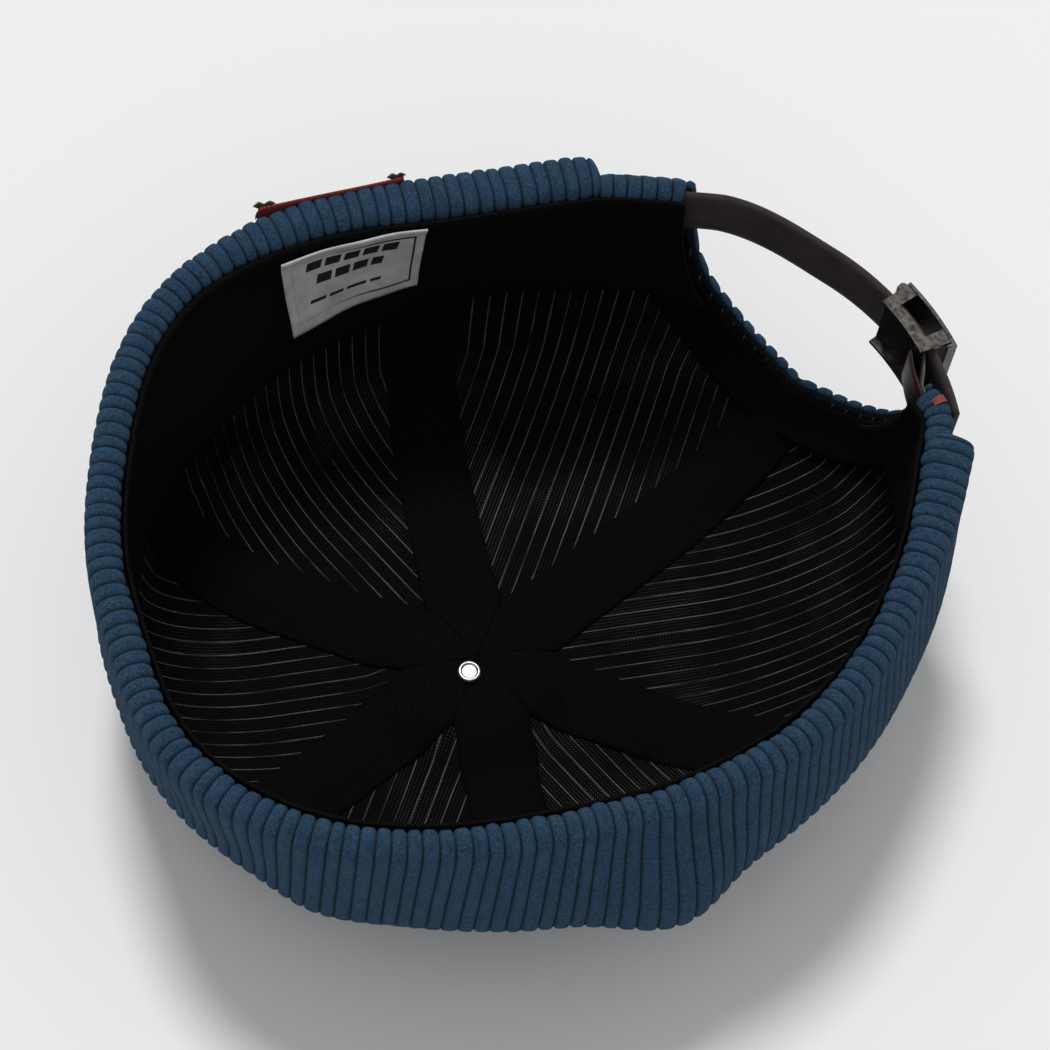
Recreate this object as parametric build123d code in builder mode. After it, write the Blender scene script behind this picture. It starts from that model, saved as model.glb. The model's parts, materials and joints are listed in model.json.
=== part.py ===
"""A brimless docker cap in wide-wale corduroy, lying on its crown with its opening upward.

The cap has a crown of six gores, each with its own lining and a tape over each seam, a turned-up
cuff, a sweatband, a covered button with its rivet, and an arch at the back that a leather strap
crosses. A leather tab holds a lever clasp on that strap. The clasp slides along the strap, and
its lever flips open about a pin.

Frame: +Z up, out of the opening; +Y to the back of the cap, where the arch is; -X is the
wearer's left. The origin is on the floor, under the middle of the whole object.
"""

import os
from math import atan2, cos, degrees, hypot, pi, radians, sin

from build123d import *

os.makedirs("parts", exist_ok=True)

# ---- Driving dimensions, mm and degrees -------------------------------------------------------

RIM_CENTER = (-2.1, -2.65)  # middle of the head opening
RIM_LONG = 101.9  # half of the oval opening, along its long axis
RIM_SHORT = 84.0  # half of the oval opening, across
RIM_TURN = 76.3  # direction of the long axis, from +X
RIM_HEIGHT = 80.0  # top of the cuff's fold above the floor
LEAN = 5.0  # how far the side wall sways off the rim's centre, halfway down
LEAN_DIRECTION = 20.0
CORNER_DROP = 35.0  # where the wall starts to round in towards the crown's top
CORNER_REACH = 0.45  # share of the oval that the rounding takes
WALL_TAPER = 0.01
WALL_STEPS = 5  # profiles down the straight part of the wall
CROWN_FACE = 0.9  # crown's outer face, outside the rim oval

# Layers, as depths below the crown's outer face.
CROWN_CLOTH = (0.0, 2.0)
LINING_CLOTH = (2.45, 2.95)
TAPE_CLOTH = (3.2, 3.9)
FACING_CLOTH = (4.1, 4.7)
SWEATBAND_CLOTH = (6.4, 7.2)
LABEL_CLOTH = (7.5, 8.0)
CUFF_OUTER_LEG = (-2.5, -0.45)
CUFF_INNER_LEG = (2.6, 6.0)
PATCH_CLOTH = (-3.4, -2.8)

CROWN_TOP_DROP = 2.0
LINING_TOP_DROP = 19.5
SWEATBAND_DROPS = (1.0, 38.0)
CUFF_HEIGHT = 40.0
CUFF_FOLD = 1.7  # thickness of the cuff over the crown's edge
CUFF_INNER_DEPTH = 4.0

GORES = 6
APEX = (2.5, -6.0)  # where the seams meet, from the rim's centre
BUTTON_PLACE = (4.4, -10.6)  # the button, sewn on a little off the apex
SEAM_ANGLE = 90.0  # the back seam
TAPE_WIDTH = 18.0
DIMPLE_RADIUS = 26.0
DIMPLE_FLAT_RADIUS = 12.0
DIMPLE_DEPTH = 4.6
RIVET_HOLE_RADIUS = 1.5

ARCH_HALF_WIDTH = 37.5
ARCH_DEPTH = 50.0
ARCH_CENTER_X = 0.5
FACING_WIDTH = 13.0
EAR_ANGLES = (61.0, 125.0)  # the cuff leaves this stretch of the rim bare

BUTTON_RADIUS = 8.0
BUTTON_HEIGHT = 4.2
BUTTON_BULGE = 2.4
BUTTON_CLOTH = 0.8
BUTTON_METAL = 0.6
RIVET_HEAD_RADIUS = 2.8
RIVET_HEAD_HEIGHT = 1.3
RIVET_SHANK_RADIUS = 1.2
RIVET_FOOT_CLEARANCE = 0.15  # over the domed shell

STRAP_CENTER = (13.3, 41.3)  # middle of the strap's bow, from the rim's centre
STRAP_RADIUS = 64.3
STRAP_THICKNESS = 1.6
STRAP_WIDTH = 15.0
STRAP_TOP_DROP = 1.0
STRAP_ANGLES = (57.4, 130.0)  # tail, and where the bow meets the flatter sewn end
STRAP_SEWN_RADIUS = 120.0
STRAP_SEWN_ANGLE = 137.4

CLASP_ANGLE = 81.5  # middle of the clasp, about the strap's centre
CLASP_LENGTH = 17.0
CLASP_HEIGHT = 18.6
CLASP_METAL = 0.9
CLASP_GAP = 0.4  # between the strap and the metal
CHEEK_CLEARANCE = 0.25
PIN_RADIUS = 0.75
PIN_CLEARANCE = 0.06
KNUCKLE_RADIUS = 1.45
LUG_RADIUS = 1.15
LIP_DEPTH = 1.5
LIP_CLEARANCE = 0.4  # degrees about the strap's centre
WEB_TURN = 1.2
BAR_RADIUS = 1.0
BAR_WINDOW = 6.6  # length of the opening in the base plate, round the bar
BAR_CHEEK = 3.6  # length of the cheeks that hold the bar
PIN_CHEEK = 3.4  # and of those that hold the lever's pin
TAB_PLY = 0.85
TAB_CLEARANCE = 0.12
TAB_HEIGHT = 12.4
TAB_BEND = (36.3, 92.7)  # from the rim's centre, where the two plies meet
TAB_END = (46.1, 86.7)  # inside its pocket

LABEL_SIZE = (37.0, 22.0)
LABEL_ANGLE = 166.0
LABEL_DROP = 16.0
LABEL_TILT = -10.0
PATCH_SIZE = (33.0, 26.0)
PATCH_ANGLE = 167.5
PATCH_DROP = 15.0
STITCH_LENGTH = 4.0
STITCH_THICKNESS = 0.6
BARTACK_ANGLE = 65.5

BIG = 150.0


# ---- The oval wall and its layers -------------------------------------------------------------

def around(point):
    """A point given from the rim's centre, in the part's own frame."""
    return (RIM_CENTER[0] + point[0], RIM_CENTER[1] + point[1])


def lean_at(drop):
    """The oval's centre at a depth below the rim, from the rim's centre."""
    sway = LEAN * sin(pi * drop / RIM_HEIGHT)
    direction = radians(LEAN_DIRECTION)
    return (sway * cos(direction), sway * sin(direction))


def rim_radius(angle):
    """Distance from the rim's centre to the rim oval."""
    turned = radians(angle - RIM_TURN)
    return 1 / hypot(cos(turned) / RIM_LONG, sin(turned) / RIM_SHORT)


def crown_rings():
    """The wall's profile as (drop, share of the oval, outward normal, upward normal)."""
    rings = []
    for step in range(-1, WALL_STEPS):
        drop = CORNER_DROP * step / WALL_STEPS
        rings.append((drop, 1 - WALL_TAPER * drop / CORNER_DROP, 1.0, 0.0))
    corner_height = RIM_HEIGHT - CORNER_DROP
    corner_width = CORNER_REACH * (RIM_LONG + RIM_SHORT) / 2
    for turn in (90, 72, 54, 36, 18, 0):
        across = sin(radians(turn))
        down = cos(radians(turn))
        share = 1 - WALL_TAPER - CORNER_REACH * (1 - across)
        normal = (across / corner_width, down / corner_height)
        size = hypot(*normal)
        rings.append((CORNER_DROP + corner_height * down, share, normal[0] / size, normal[1] / size))
    return rings


def cuff_rings():
    """The same profile for the cuff, which hangs straight down."""
    return [(CORNER_DROP * step / WALL_STEPS, 1.0, 1.0, 0.0) for step in range(-1, WALL_STEPS + 2)]


def wall_body(depth, rings):
    """A solid with the outer face of the wall, `depth` below the crown's face."""
    with BuildPart() as body:
        for drop, share, outward, downward in rings:
            center = around(lean_at(drop))
            height = RIM_HEIGHT - drop + depth * downward
            plane = Plane(origin=(center[0], center[1], height))
            with BuildSketch(plane):
                long_radius = (RIM_LONG + CROWN_FACE) * share - depth * outward
                short_radius = (RIM_SHORT + CROWN_FACE) * share - depth * outward
                Ellipse(long_radius, short_radius, rotation=RIM_TURN)
        loft()
    return body.part


def slab(low_drop, high_drop):
    """Everything between two depths below the rim."""
    with BuildPart() as block:
        with BuildSketch(Plane.XY.offset(RIM_HEIGHT - high_drop)):
            Rectangle(2 * BIG, 2 * BIG)
        extrude(amount=high_drop - low_drop)
    return block.part


def dimple(cloth):
    """The cloth over the sunk middle of the crown, where the button sits."""
    center = around(BUTTON_PLACE)
    near, far = cloth
    with BuildPart() as dish:
        with BuildSketch(Plane(origin=(center[0], center[1], 0), x_dir=(1, 0, 0), z_dir=(0, -1, 0))):
            Polygon(
                (0, near + DIMPLE_DEPTH),
                (DIMPLE_FLAT_RADIUS, near + DIMPLE_DEPTH),
                (DIMPLE_RADIUS, near),
                (DIMPLE_RADIUS, far),
                (DIMPLE_FLAT_RADIUS, far + DIMPLE_DEPTH),
                (0, far + DIMPLE_DEPTH),
                align=None,
            )
        revolve(axis=Axis((center[0], center[1], 0), (0, 0, 1)))
    return dish.part


def crown_layer(cloth):
    """One whole layer of the crown, dimple and rivet hole included."""
    center = around(BUTTON_PLACE)
    outside = wall_body(cloth[0], crown_rings())
    inside = wall_body(cloth[1], crown_rings())
    dish = dimple(cloth)
    with BuildPart() as layer:
        add(outside)
        add(inside, mode=Mode.SUBTRACT)
        with BuildSketch(Plane(origin=(center[0], center[1], 0))):
            Circle(DIMPLE_RADIUS)
        extrude(amount=RIM_HEIGHT / 2, mode=Mode.SUBTRACT)
        add(dish)
        with BuildSketch(Plane(origin=(center[0], center[1], 0))):
            Circle(RIVET_HOLE_RADIUS)
        extrude(amount=RIM_HEIGHT / 2, mode=Mode.SUBTRACT)
    return layer.part


def arch_tool(grow):
    """The arch's outline, grown by `grow`, as a solid that passes through the back wall."""
    with BuildPart() as tool:
        center = around((ARCH_CENTER_X, 0))
        with BuildSketch(Plane(origin=(center[0], 0, RIM_HEIGHT), x_dir=(1, 0, 0), z_dir=(0, -1, 0))):
            Ellipse(ARCH_HALF_WIDTH + grow, ARCH_DEPTH + grow)
        extrude(amount=-BIG)
    return tool.part


def sector(start, end, center, top_drop):
    """A tall wedge about a point, from one direction to another, up to a depth below the rim."""
    corners = [center]
    steps = 4
    for step in range(steps + 1):
        angle = radians(start + (end - start) * step / steps)
        corners.append((center[0] + 2 * BIG * cos(angle), center[1] + 2 * BIG * sin(angle)))
    with BuildPart() as wedge:
        with BuildSketch(Plane.XY):
            Polygon(*corners, align=None)
        extrude(amount=RIM_HEIGHT - top_drop)
    return wedge.part


def save(part, name):
    """Labels a finished piece and writes it."""
    part.label = name
    export_step(part, f"parts/{name}.step")


# ---- Crown, lining and seam tapes -------------------------------------------------------------

gore_names = ["back_left", "side_left", "front_left", "front_right", "side_right", "back_right"]
gore_step = 360 / GORES
seam_gap = 0.02  # degrees between neighbouring gores, their stitched edges side by side
arch_hole = arch_tool(0.0)
lining_arch_hole = arch_tool(1.0)
crown_cloth = crown_layer(CROWN_CLOTH)
lining_cloth = crown_layer(LINING_CLOTH)
tape_cloth = crown_layer(TAPE_CLOTH)

for index, gore_name in enumerate(gore_names):
    first = SEAM_ANGLE + index * gore_step + seam_gap
    last = SEAM_ANGLE + (index + 1) * gore_step - seam_gap

    crown_wedge = sector(first, last, around(APEX), CROWN_TOP_DROP)
    with BuildPart() as crown_gore:
        add(crown_cloth)
        add(crown_wedge, mode=Mode.INTERSECT)
        add(arch_hole, mode=Mode.SUBTRACT)
    save(crown_gore.part, f"crown_{gore_name}")

    lining_wedge = sector(first, last, around(APEX), LINING_TOP_DROP)
    with BuildPart() as lining_gore:
        add(lining_cloth)
        add(lining_wedge, mode=Mode.INTERSECT)
        add(lining_arch_hole, mode=Mode.SUBTRACT)
    save(lining_gore.part, f"lining_{gore_name}")

seam_names = ["back", "rear_left", "front_left", "front", "front_right", "rear_right"]
for index, seam_name in enumerate(seam_names):
    seam_angle = SEAM_ANGLE + index * gore_step
    half_width = TAPE_WIDTH / 2
    shoulder = half_width / sin(radians(gore_step / 2 - seam_gap)) * cos(radians(gore_step / 2))
    seam_plane = Plane(origin=(*around(APEX), 0)).rotated((0, 0, seam_angle))
    with BuildPart() as seam_tape:
        add(tape_cloth)
        with BuildSketch(seam_plane):
            Polygon(
                (0, 0),
                (shoulder, -half_width),
                (BIG, -half_width),
                (BIG, half_width),
                (shoulder, half_width),
                align=None,
            )
        extrude(amount=RIM_HEIGHT - LINING_TOP_DROP, mode=Mode.INTERSECT)
        add(lining_arch_hole, mode=Mode.SUBTRACT)
    save(seam_tape.part, f"seam_tape_{seam_name}")

# ---- Arch facing and sweatband ----------------------------------------------------------------

facing_outside = wall_body(FACING_CLOTH[0], crown_rings())
facing_inside = wall_body(FACING_CLOTH[1], crown_rings())
facing_outline = arch_tool(FACING_WIDTH)
below_strap = slab(LINING_TOP_DROP, RIM_HEIGHT)
with BuildPart() as arch_facing:
    add(facing_outside)
    add(facing_inside, mode=Mode.SUBTRACT)
    add(facing_outline, mode=Mode.INTERSECT)
    add(below_strap, mode=Mode.INTERSECT)
    add(lining_arch_hole, mode=Mode.SUBTRACT)
save(arch_facing.part, "arch_facing")

band_outside = wall_body(SWEATBAND_CLOTH[0], crown_rings())
band_inside = wall_body(SWEATBAND_CLOTH[1], crown_rings())
band_slab = slab(*SWEATBAND_DROPS)
with BuildPart() as sweatband:
    add(band_outside)
    add(band_inside, mode=Mode.SUBTRACT)
    add(band_slab, mode=Mode.INTERSECT)
    add(lining_arch_hole, mode=Mode.SUBTRACT)
save(sweatband.part, "sweatband")

# ---- Turned-up cuff ---------------------------------------------------------------------------

cuff_outside = wall_body(CUFF_OUTER_LEG[0], cuff_rings())
cuff_leg_inside = wall_body(CUFF_OUTER_LEG[1], cuff_rings())
cuff_channel_inside = wall_body(CUFF_INNER_LEG[0], cuff_rings())
cuff_inside = wall_body(CUFF_INNER_LEG[1], cuff_rings())
cuff_slab = slab(0.0, CUFF_HEIGHT)
under_inner_leg = slab(CUFF_INNER_DEPTH, CUFF_HEIGHT + 2)
under_fold = slab(CUFF_FOLD, CUFF_INNER_DEPTH + 1)
with BuildPart() as cuff_channel:
    add(cuff_leg_inside)
    add(cuff_channel_inside, mode=Mode.SUBTRACT)
    add(under_fold, mode=Mode.INTERSECT)
with BuildPart() as cuff_core:
    add(cuff_leg_inside)
    add(under_inner_leg, mode=Mode.INTERSECT)
bare_rim = sector(EAR_ANGLES[0], EAR_ANGLES[1], around((0, 0)), -3.0)
with BuildPart() as cuff:
    add(cuff_outside)
    add(cuff_slab, mode=Mode.INTERSECT)
    add(cuff_inside, mode=Mode.SUBTRACT)
    add(cuff_core.part, mode=Mode.SUBTRACT)
    add(cuff_channel.part, mode=Mode.SUBTRACT)
    add(bare_rim, mode=Mode.SUBTRACT)
save(cuff.part, "cuff")

# ---- Covered button and its rivet -------------------------------------------------------------

button_plane = Plane(origin=(*around(BUTTON_PLACE), 0), x_dir=(1, 0, 0), z_dir=(0, -1, 0))
button_axis = Axis((*around(BUTTON_PLACE), 0), (0, 0, 1))


def button_dome(inset, top):
    """A shallow dome, face down, as a solid of revolution."""
    with BuildPart() as dome:
        with BuildSketch(button_plane):
            with BuildLine():
                radius = BUTTON_RADIUS - inset
                brim = inset + BUTTON_BULGE
                Line((0, top), (0, inset))
                ThreePointArc((0, inset), (radius / 2, inset + BUTTON_BULGE / 4), (radius, brim))
                Line((radius, brim), (radius, top))
                Line((radius, top), (0, top))
            make_face()
        revolve(axis=button_axis)
    return dome.part


cover_dome = button_dome(0.0, BUTTON_HEIGHT)
shell_dome = button_dome(BUTTON_CLOTH, BUTTON_HEIGHT)
hollow_dome = button_dome(BUTTON_CLOTH + BUTTON_METAL, BUTTON_HEIGHT)
with BuildPart() as button_cover:
    add(cover_dome)
    add(shell_dome, mode=Mode.SUBTRACT)
save(button_cover.part, "button_cover")

with BuildPart() as button_shell:
    add(shell_dome)
    add(hollow_dome, mode=Mode.SUBTRACT)
save(button_shell.part, "button_shell")

head_height = TAPE_CLOTH[1] + DIMPLE_DEPTH + 0.1
shank_foot = BUTTON_CLOTH + BUTTON_METAL + RIVET_FOOT_CLEARANCE
with BuildPart() as rivet:
    with BuildSketch(button_plane):
        with BuildLine():
            Polyline(
                (0, shank_foot),
                (RIVET_SHANK_RADIUS, shank_foot),
                (RIVET_SHANK_RADIUS, head_height),
                (RIVET_HEAD_RADIUS, head_height),
                (RIVET_HEAD_RADIUS, head_height + 0.8),
            )
            TangentArc(
                (RIVET_HEAD_RADIUS, head_height + 0.8),
                (RIVET_HEAD_RADIUS - 0.6, head_height + RIVET_HEAD_HEIGHT),
                tangent=(0, 1),
            )
            Polyline(
                (RIVET_HEAD_RADIUS - 0.6, head_height + RIVET_HEAD_HEIGHT),
                (RIVET_HEAD_RADIUS - 1.1, head_height + 0.9),
                (0, head_height + 0.9),
                (0, shank_foot),
            )
        make_face()
    revolve(axis=button_axis)
save(rivet.part, "rivet")

# ---- Strap ------------------------------------------------------------------------------------

strap_center = around(STRAP_CENTER)
join_angle = STRAP_ANGLES[1]
join_reach = STRAP_SEWN_RADIUS - STRAP_RADIUS
sewn_center = (
    strap_center[0] - join_reach * cos(radians(join_angle)),
    strap_center[1] - join_reach * sin(radians(join_angle)),
)
strap_plane = Plane.XY.offset(RIM_HEIGHT - STRAP_TOP_DROP - STRAP_WIDTH)


def on_strap(angle, radius):
    """A point about the centre of the strap's bow."""
    turn = radians(angle)
    return (strap_center[0] + radius * cos(turn), strap_center[1] + radius * sin(turn))


with BuildPart() as strap:
    with BuildSketch(strap_plane):
        with BuildLine():
            outer = STRAP_THICKNESS / 2
            tail, join = STRAP_ANGLES
            sewn_sweep = STRAP_SEWN_ANGLE - join
            bow_out = CenterArc(strap_center, STRAP_RADIUS + outer, tail, join - tail)
            sewn_out = CenterArc(sewn_center, STRAP_SEWN_RADIUS + outer, join, sewn_sweep)
            bow_in = CenterArc(strap_center, STRAP_RADIUS - outer, tail, join - tail)
            sewn_in = CenterArc(sewn_center, STRAP_SEWN_RADIUS - outer, join, sewn_sweep)
            Line(sewn_out @ 1, sewn_in @ 1)
            Line(bow_out @ 0, bow_in @ 0)
        make_face()
    extrude(amount=STRAP_WIDTH)
save(strap.part, "strap")

# ---- Clasp: frame, pin and lever --------------------------------------------------------------

half_turn = degrees(CLASP_LENGTH / 2 / STRAP_RADIUS)
plate_outer = STRAP_RADIUS - STRAP_THICKNESS / 2 - CLASP_GAP
plate_inner = plate_outer - CLASP_METAL
pin_orbit = STRAP_RADIUS + STRAP_THICKNESS / 2 + CLASP_GAP + KNUCKLE_RADIUS
bar_orbit = plate_outer - TAB_PLY - TAB_CLEARANCE - BAR_RADIUS
bar_angle = CLASP_ANGLE - half_turn
pin_angle = CLASP_ANGLE + half_turn - degrees(KNUCKLE_RADIUS / STRAP_RADIUS) - 0.3
clasp_middle = RIM_HEIGHT - STRAP_TOP_DROP - STRAP_WIDTH / 2
clasp_floor = clasp_middle - CLASP_HEIGHT / 2


def ring_slice(inner, outer, start, end, low, high):
    """A curved block about the centre of the strap's bow."""
    with BuildPart() as block:
        with BuildSketch(Plane.XY.offset(low)):
            with BuildLine():
                far = CenterArc(strap_center, outer, start, end - start)
                near = CenterArc(strap_center, inner, start, end - start)
                Line(far @ 0, near @ 0)
                Line(far @ 1, near @ 1)
            make_face()
        extrude(amount=high - low)
    return block.part


def post(angle, orbit, radius, low, high):
    """A round bar beside the strap, upright."""
    with BuildPart() as bar:
        with BuildSketch(Plane(origin=(*on_strap(angle, orbit), low))):
            Circle(radius)
        extrude(amount=high - low)
    return bar.part


window_turn = degrees(BAR_WINDOW / STRAP_RADIUS)
frame_start = bar_angle - degrees(2.0 / STRAP_RADIUS)
cheek_outer = pin_orbit + LUG_RADIUS
cheek_inner = bar_orbit - BAR_RADIUS
frame_levels = (clasp_floor, clasp_floor + CLASP_HEIGHT)
cheek_levels = (
    (clasp_floor, clasp_floor + CLASP_METAL),
    (clasp_floor + CLASP_HEIGHT - CLASP_METAL, clasp_floor + CLASP_HEIGHT),
)
base_plate = ring_slice(
    plate_inner, plate_outer, bar_angle + window_turn / 2, pin_angle, *frame_levels
)
bar_cheek_end = frame_start + degrees(BAR_CHEEK / STRAP_RADIUS)
pin_cheek_start = pin_angle - degrees(PIN_CHEEK / STRAP_RADIUS)
cheeks = []
for levels in cheek_levels:
    cheeks.append(ring_slice(cheek_inner, plate_outer, frame_start, pin_angle, *levels))
    cheeks.append(ring_slice(cheek_inner, cheek_outer, frame_start, bar_cheek_end, *levels))
    cheeks.append(ring_slice(cheek_inner, cheek_outer, pin_cheek_start, pin_angle, *levels))
lugs = [post(pin_angle, pin_orbit, LUG_RADIUS, *levels) for levels in cheek_levels]
tab_bar = post(bar_angle, bar_orbit, BAR_RADIUS, *frame_levels)
pin_hole = post(pin_angle, pin_orbit, PIN_RADIUS, frame_levels[0] - 1, frame_levels[1] + 1)
with BuildPart() as clasp_frame:
    add(base_plate)
    for cheek in cheeks:
        add(cheek)
    for lug in lugs:
        add(lug)
    add(tab_bar)
    add(pin_hole, mode=Mode.SUBTRACT)
save(clasp_frame.part, "clasp_frame")

clasp_pin_body = post(pin_angle, pin_orbit, PIN_RADIUS, *frame_levels)
with BuildPart() as clasp_pin:
    add(clasp_pin_body)
save(clasp_pin.part, "clasp_pin")

knuckle_levels = (cheek_levels[0][1] + CHEEK_CLEARANCE, cheek_levels[1][0] - CHEEK_CLEARANCE)
lever_inner = cheek_outer + CHEEK_CLEARANCE
lever_outer = lever_inner + CLASP_METAL
lip_end = frame_start - LIP_CLEARANCE
lip_start = lip_end - degrees(CLASP_METAL / STRAP_RADIUS)
lever_plate = ring_slice(lever_inner, lever_outer, lip_start, pin_angle, *frame_levels)
lever_lip = ring_slice(lever_inner - LIP_DEPTH, lever_outer, lip_start, lip_end, *frame_levels)
lever_web = ring_slice(
    pin_orbit, lever_inner + CLASP_METAL / 2, pin_angle - WEB_TURN, pin_angle, *knuckle_levels
)
knuckle = post(pin_angle, pin_orbit, KNUCKLE_RADIUS, *knuckle_levels)
pin_bore = post(
    pin_angle, pin_orbit, PIN_RADIUS + PIN_CLEARANCE, knuckle_levels[0] - 1, knuckle_levels[1] + 1
)
with BuildPart() as clasp_lever:
    add(lever_plate)
    add(lever_lip)
    add(lever_web)
    add(knuckle)
    add(pin_bore, mode=Mode.SUBTRACT)
save(clasp_lever.part, "clasp_lever")

# ---- Leather tab round the clasp's bar --------------------------------------------------------

bar_point = on_strap(bar_angle, bar_orbit)
tab_bend = around(TAB_BEND)
tab_end = around(TAB_END)
tab_floor = clasp_middle - TAB_HEIGHT / 2
tab_inner = BAR_RADIUS + TAB_CLEARANCE
tab_outer = tab_inner + TAB_PLY


def tab_run(start, end):
    """The workplane at one point of the tab, facing another, and the distance between them."""
    away = (end[0] - start[0], end[1] - start[1])
    turn = degrees(atan2(away[1], away[0]))
    return Plane(origin=(*start, tab_floor)).rotated((0, 0, turn)), hypot(*away)


loop_plane, loop_run = tab_run(bar_point, tab_bend)
sewn_plane, sewn_run = tab_run(tab_bend, tab_end)
with BuildPart() as tab:
    with BuildSketch(loop_plane):
        with BuildLine():
            Line((0, tab_outer), (loop_run, TAB_PLY))
            Line((loop_run, TAB_PLY), (loop_run, -TAB_PLY))
            Line((loop_run, -TAB_PLY), (0, -tab_outer))
            ThreePointArc((0, -tab_outer), (-tab_outer, 0), (0, tab_outer))
        make_face()
        with BuildLine():
            Line((0, tab_inner), (loop_run - TAB_PLY, 0))
            Line((loop_run - TAB_PLY, 0), (0, -tab_inner))
            ThreePointArc((0, -tab_inner), (-tab_inner, 0), (0, tab_inner))
        make_face(mode=Mode.SUBTRACT)
    extrude(amount=TAB_HEIGHT)
    with BuildSketch(sewn_plane):
        Circle(TAB_PLY)
        Rectangle(sewn_run, 2 * TAB_PLY, align=(Align.MIN, Align.CENTER))
    extrude(amount=TAB_HEIGHT)
save(tab.part, "tab")

# ---- Label, patch and stitches ----------------------------------------------------------------


def wall_block(size, angle, drop, tilt):
    """A block that reaches through the wall at one place, to cut a rectangle from a layer."""
    center = around((0, 0))
    outward = (cos(radians(angle)), sin(radians(angle)), 0)
    along = (-sin(radians(angle)), cos(radians(angle)), 0)
    plane = Plane(origin=(center[0], center[1], RIM_HEIGHT - drop), x_dir=along, z_dir=outward)
    with BuildPart() as block:
        with BuildSketch(plane):
            Rectangle(size[0], size[1], rotation=tilt)
        extrude(amount=BIG)
    return block.part


label_outside = wall_body(LABEL_CLOTH[0], crown_rings())
label_inside = wall_body(LABEL_CLOTH[1], crown_rings())
label_block = wall_block(LABEL_SIZE, LABEL_ANGLE, LABEL_DROP, LABEL_TILT)
with BuildPart() as label:
    add(label_outside)
    add(label_inside, mode=Mode.SUBTRACT)
    add(label_block, mode=Mode.INTERSECT)
save(label.part, "woven_label")

patch_outside = wall_body(PATCH_CLOTH[0], cuff_rings())
patch_inside = wall_body(PATCH_CLOTH[1], cuff_rings())
patch_block = wall_block(PATCH_SIZE, PATCH_ANGLE, PATCH_DROP, 0)
with BuildPart() as patch:
    add(patch_outside)
    add(patch_inside, mode=Mode.SUBTRACT)
    add(patch_block, mode=Mode.INTERSECT)
save(patch.part, "cuff_patch")

stitch_outside = wall_body(PATCH_CLOTH[0] - 0.1 - STITCH_THICKNESS, cuff_rings())
stitch_inside = wall_body(PATCH_CLOTH[0] - 0.1, cuff_rings())
corner_turn = degrees((PATCH_SIZE[0] / 2 - 2) / RIM_SHORT)
stitch_blocks = []
for side in (-1, 1):
    for level in (-1, 1):
        for tilt in (-45, 45):
            stitch_blocks.append(
                wall_block(
                    (STITCH_LENGTH, STITCH_THICKNESS),
                    PATCH_ANGLE + side * corner_turn,
                    PATCH_DROP + level * (PATCH_SIZE[1] / 2 - 2.5),
                    tilt,
                )
            )
with BuildPart() as stitch_cross:
    for block in stitch_blocks:
        add(block)
with BuildPart() as patch_stitches:
    add(stitch_outside)
    add(stitch_inside, mode=Mode.SUBTRACT)
    add(stitch_cross.part, mode=Mode.INTERSECT)
save(patch_stitches.part, "patch_stitches")

bartack_radius = rim_radius(BARTACK_ANGLE) + CROWN_FACE - CROWN_CLOTH[1] / 2
bartack_point = around(
    (bartack_radius * cos(radians(BARTACK_ANGLE)), bartack_radius * sin(radians(BARTACK_ANGLE)))
)
bartack_plane = Plane(origin=(*bartack_point, RIM_HEIGHT - CROWN_TOP_DROP)).rotated(
    (0, 0, BARTACK_ANGLE)
)
with BuildPart() as bartack:
    with BuildSketch(bartack_plane):
        SlotOverall(STITCH_LENGTH / 2, STITCH_THICKNESS, rotation=90)
    extrude(amount=STITCH_THICKNESS)
save(bartack.part, "ear_bartack")
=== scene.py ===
"""The docker cap's looks: wide-wale corduroy, black lining, leather strap and metal clasp.

The cap lies on its crown with its opening upward. Lengths are in millimetres and directions in
degrees about the middle of the rim, until a mesh is made in metres. The cloth hangs on one wall
surface, and every layer is a depth inside that surface.
"""

import json

import bpy
import numpy as np
from mathutils import Matrix, Vector

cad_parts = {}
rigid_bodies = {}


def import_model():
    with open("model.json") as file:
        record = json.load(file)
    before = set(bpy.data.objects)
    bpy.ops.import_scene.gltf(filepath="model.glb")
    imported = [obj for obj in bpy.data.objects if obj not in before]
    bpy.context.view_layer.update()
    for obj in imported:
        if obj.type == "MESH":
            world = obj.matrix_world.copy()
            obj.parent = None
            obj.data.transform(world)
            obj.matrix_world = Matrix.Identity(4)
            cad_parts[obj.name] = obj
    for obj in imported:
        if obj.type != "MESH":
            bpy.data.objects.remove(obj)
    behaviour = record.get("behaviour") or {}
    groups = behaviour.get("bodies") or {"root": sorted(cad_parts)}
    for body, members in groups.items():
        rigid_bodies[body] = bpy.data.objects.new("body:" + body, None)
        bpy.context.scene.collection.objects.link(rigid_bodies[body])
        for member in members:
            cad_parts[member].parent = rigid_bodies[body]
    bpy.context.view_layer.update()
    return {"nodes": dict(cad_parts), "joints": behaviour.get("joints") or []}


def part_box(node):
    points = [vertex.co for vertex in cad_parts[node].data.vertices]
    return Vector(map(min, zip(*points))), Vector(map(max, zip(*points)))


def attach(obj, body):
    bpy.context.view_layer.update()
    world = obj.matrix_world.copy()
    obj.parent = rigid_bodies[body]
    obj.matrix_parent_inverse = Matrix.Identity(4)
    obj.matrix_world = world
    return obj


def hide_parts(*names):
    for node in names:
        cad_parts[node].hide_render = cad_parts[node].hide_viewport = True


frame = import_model()

MM = 0.001
draw = np.random.default_rng(7)

# ---- Anchors from the frame, and the part's driving dimensions ---------------------------------


def box_mm(node):
    """The two corners of a node's box, in millimetres."""
    return [np.array(corner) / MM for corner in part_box(node)]


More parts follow.
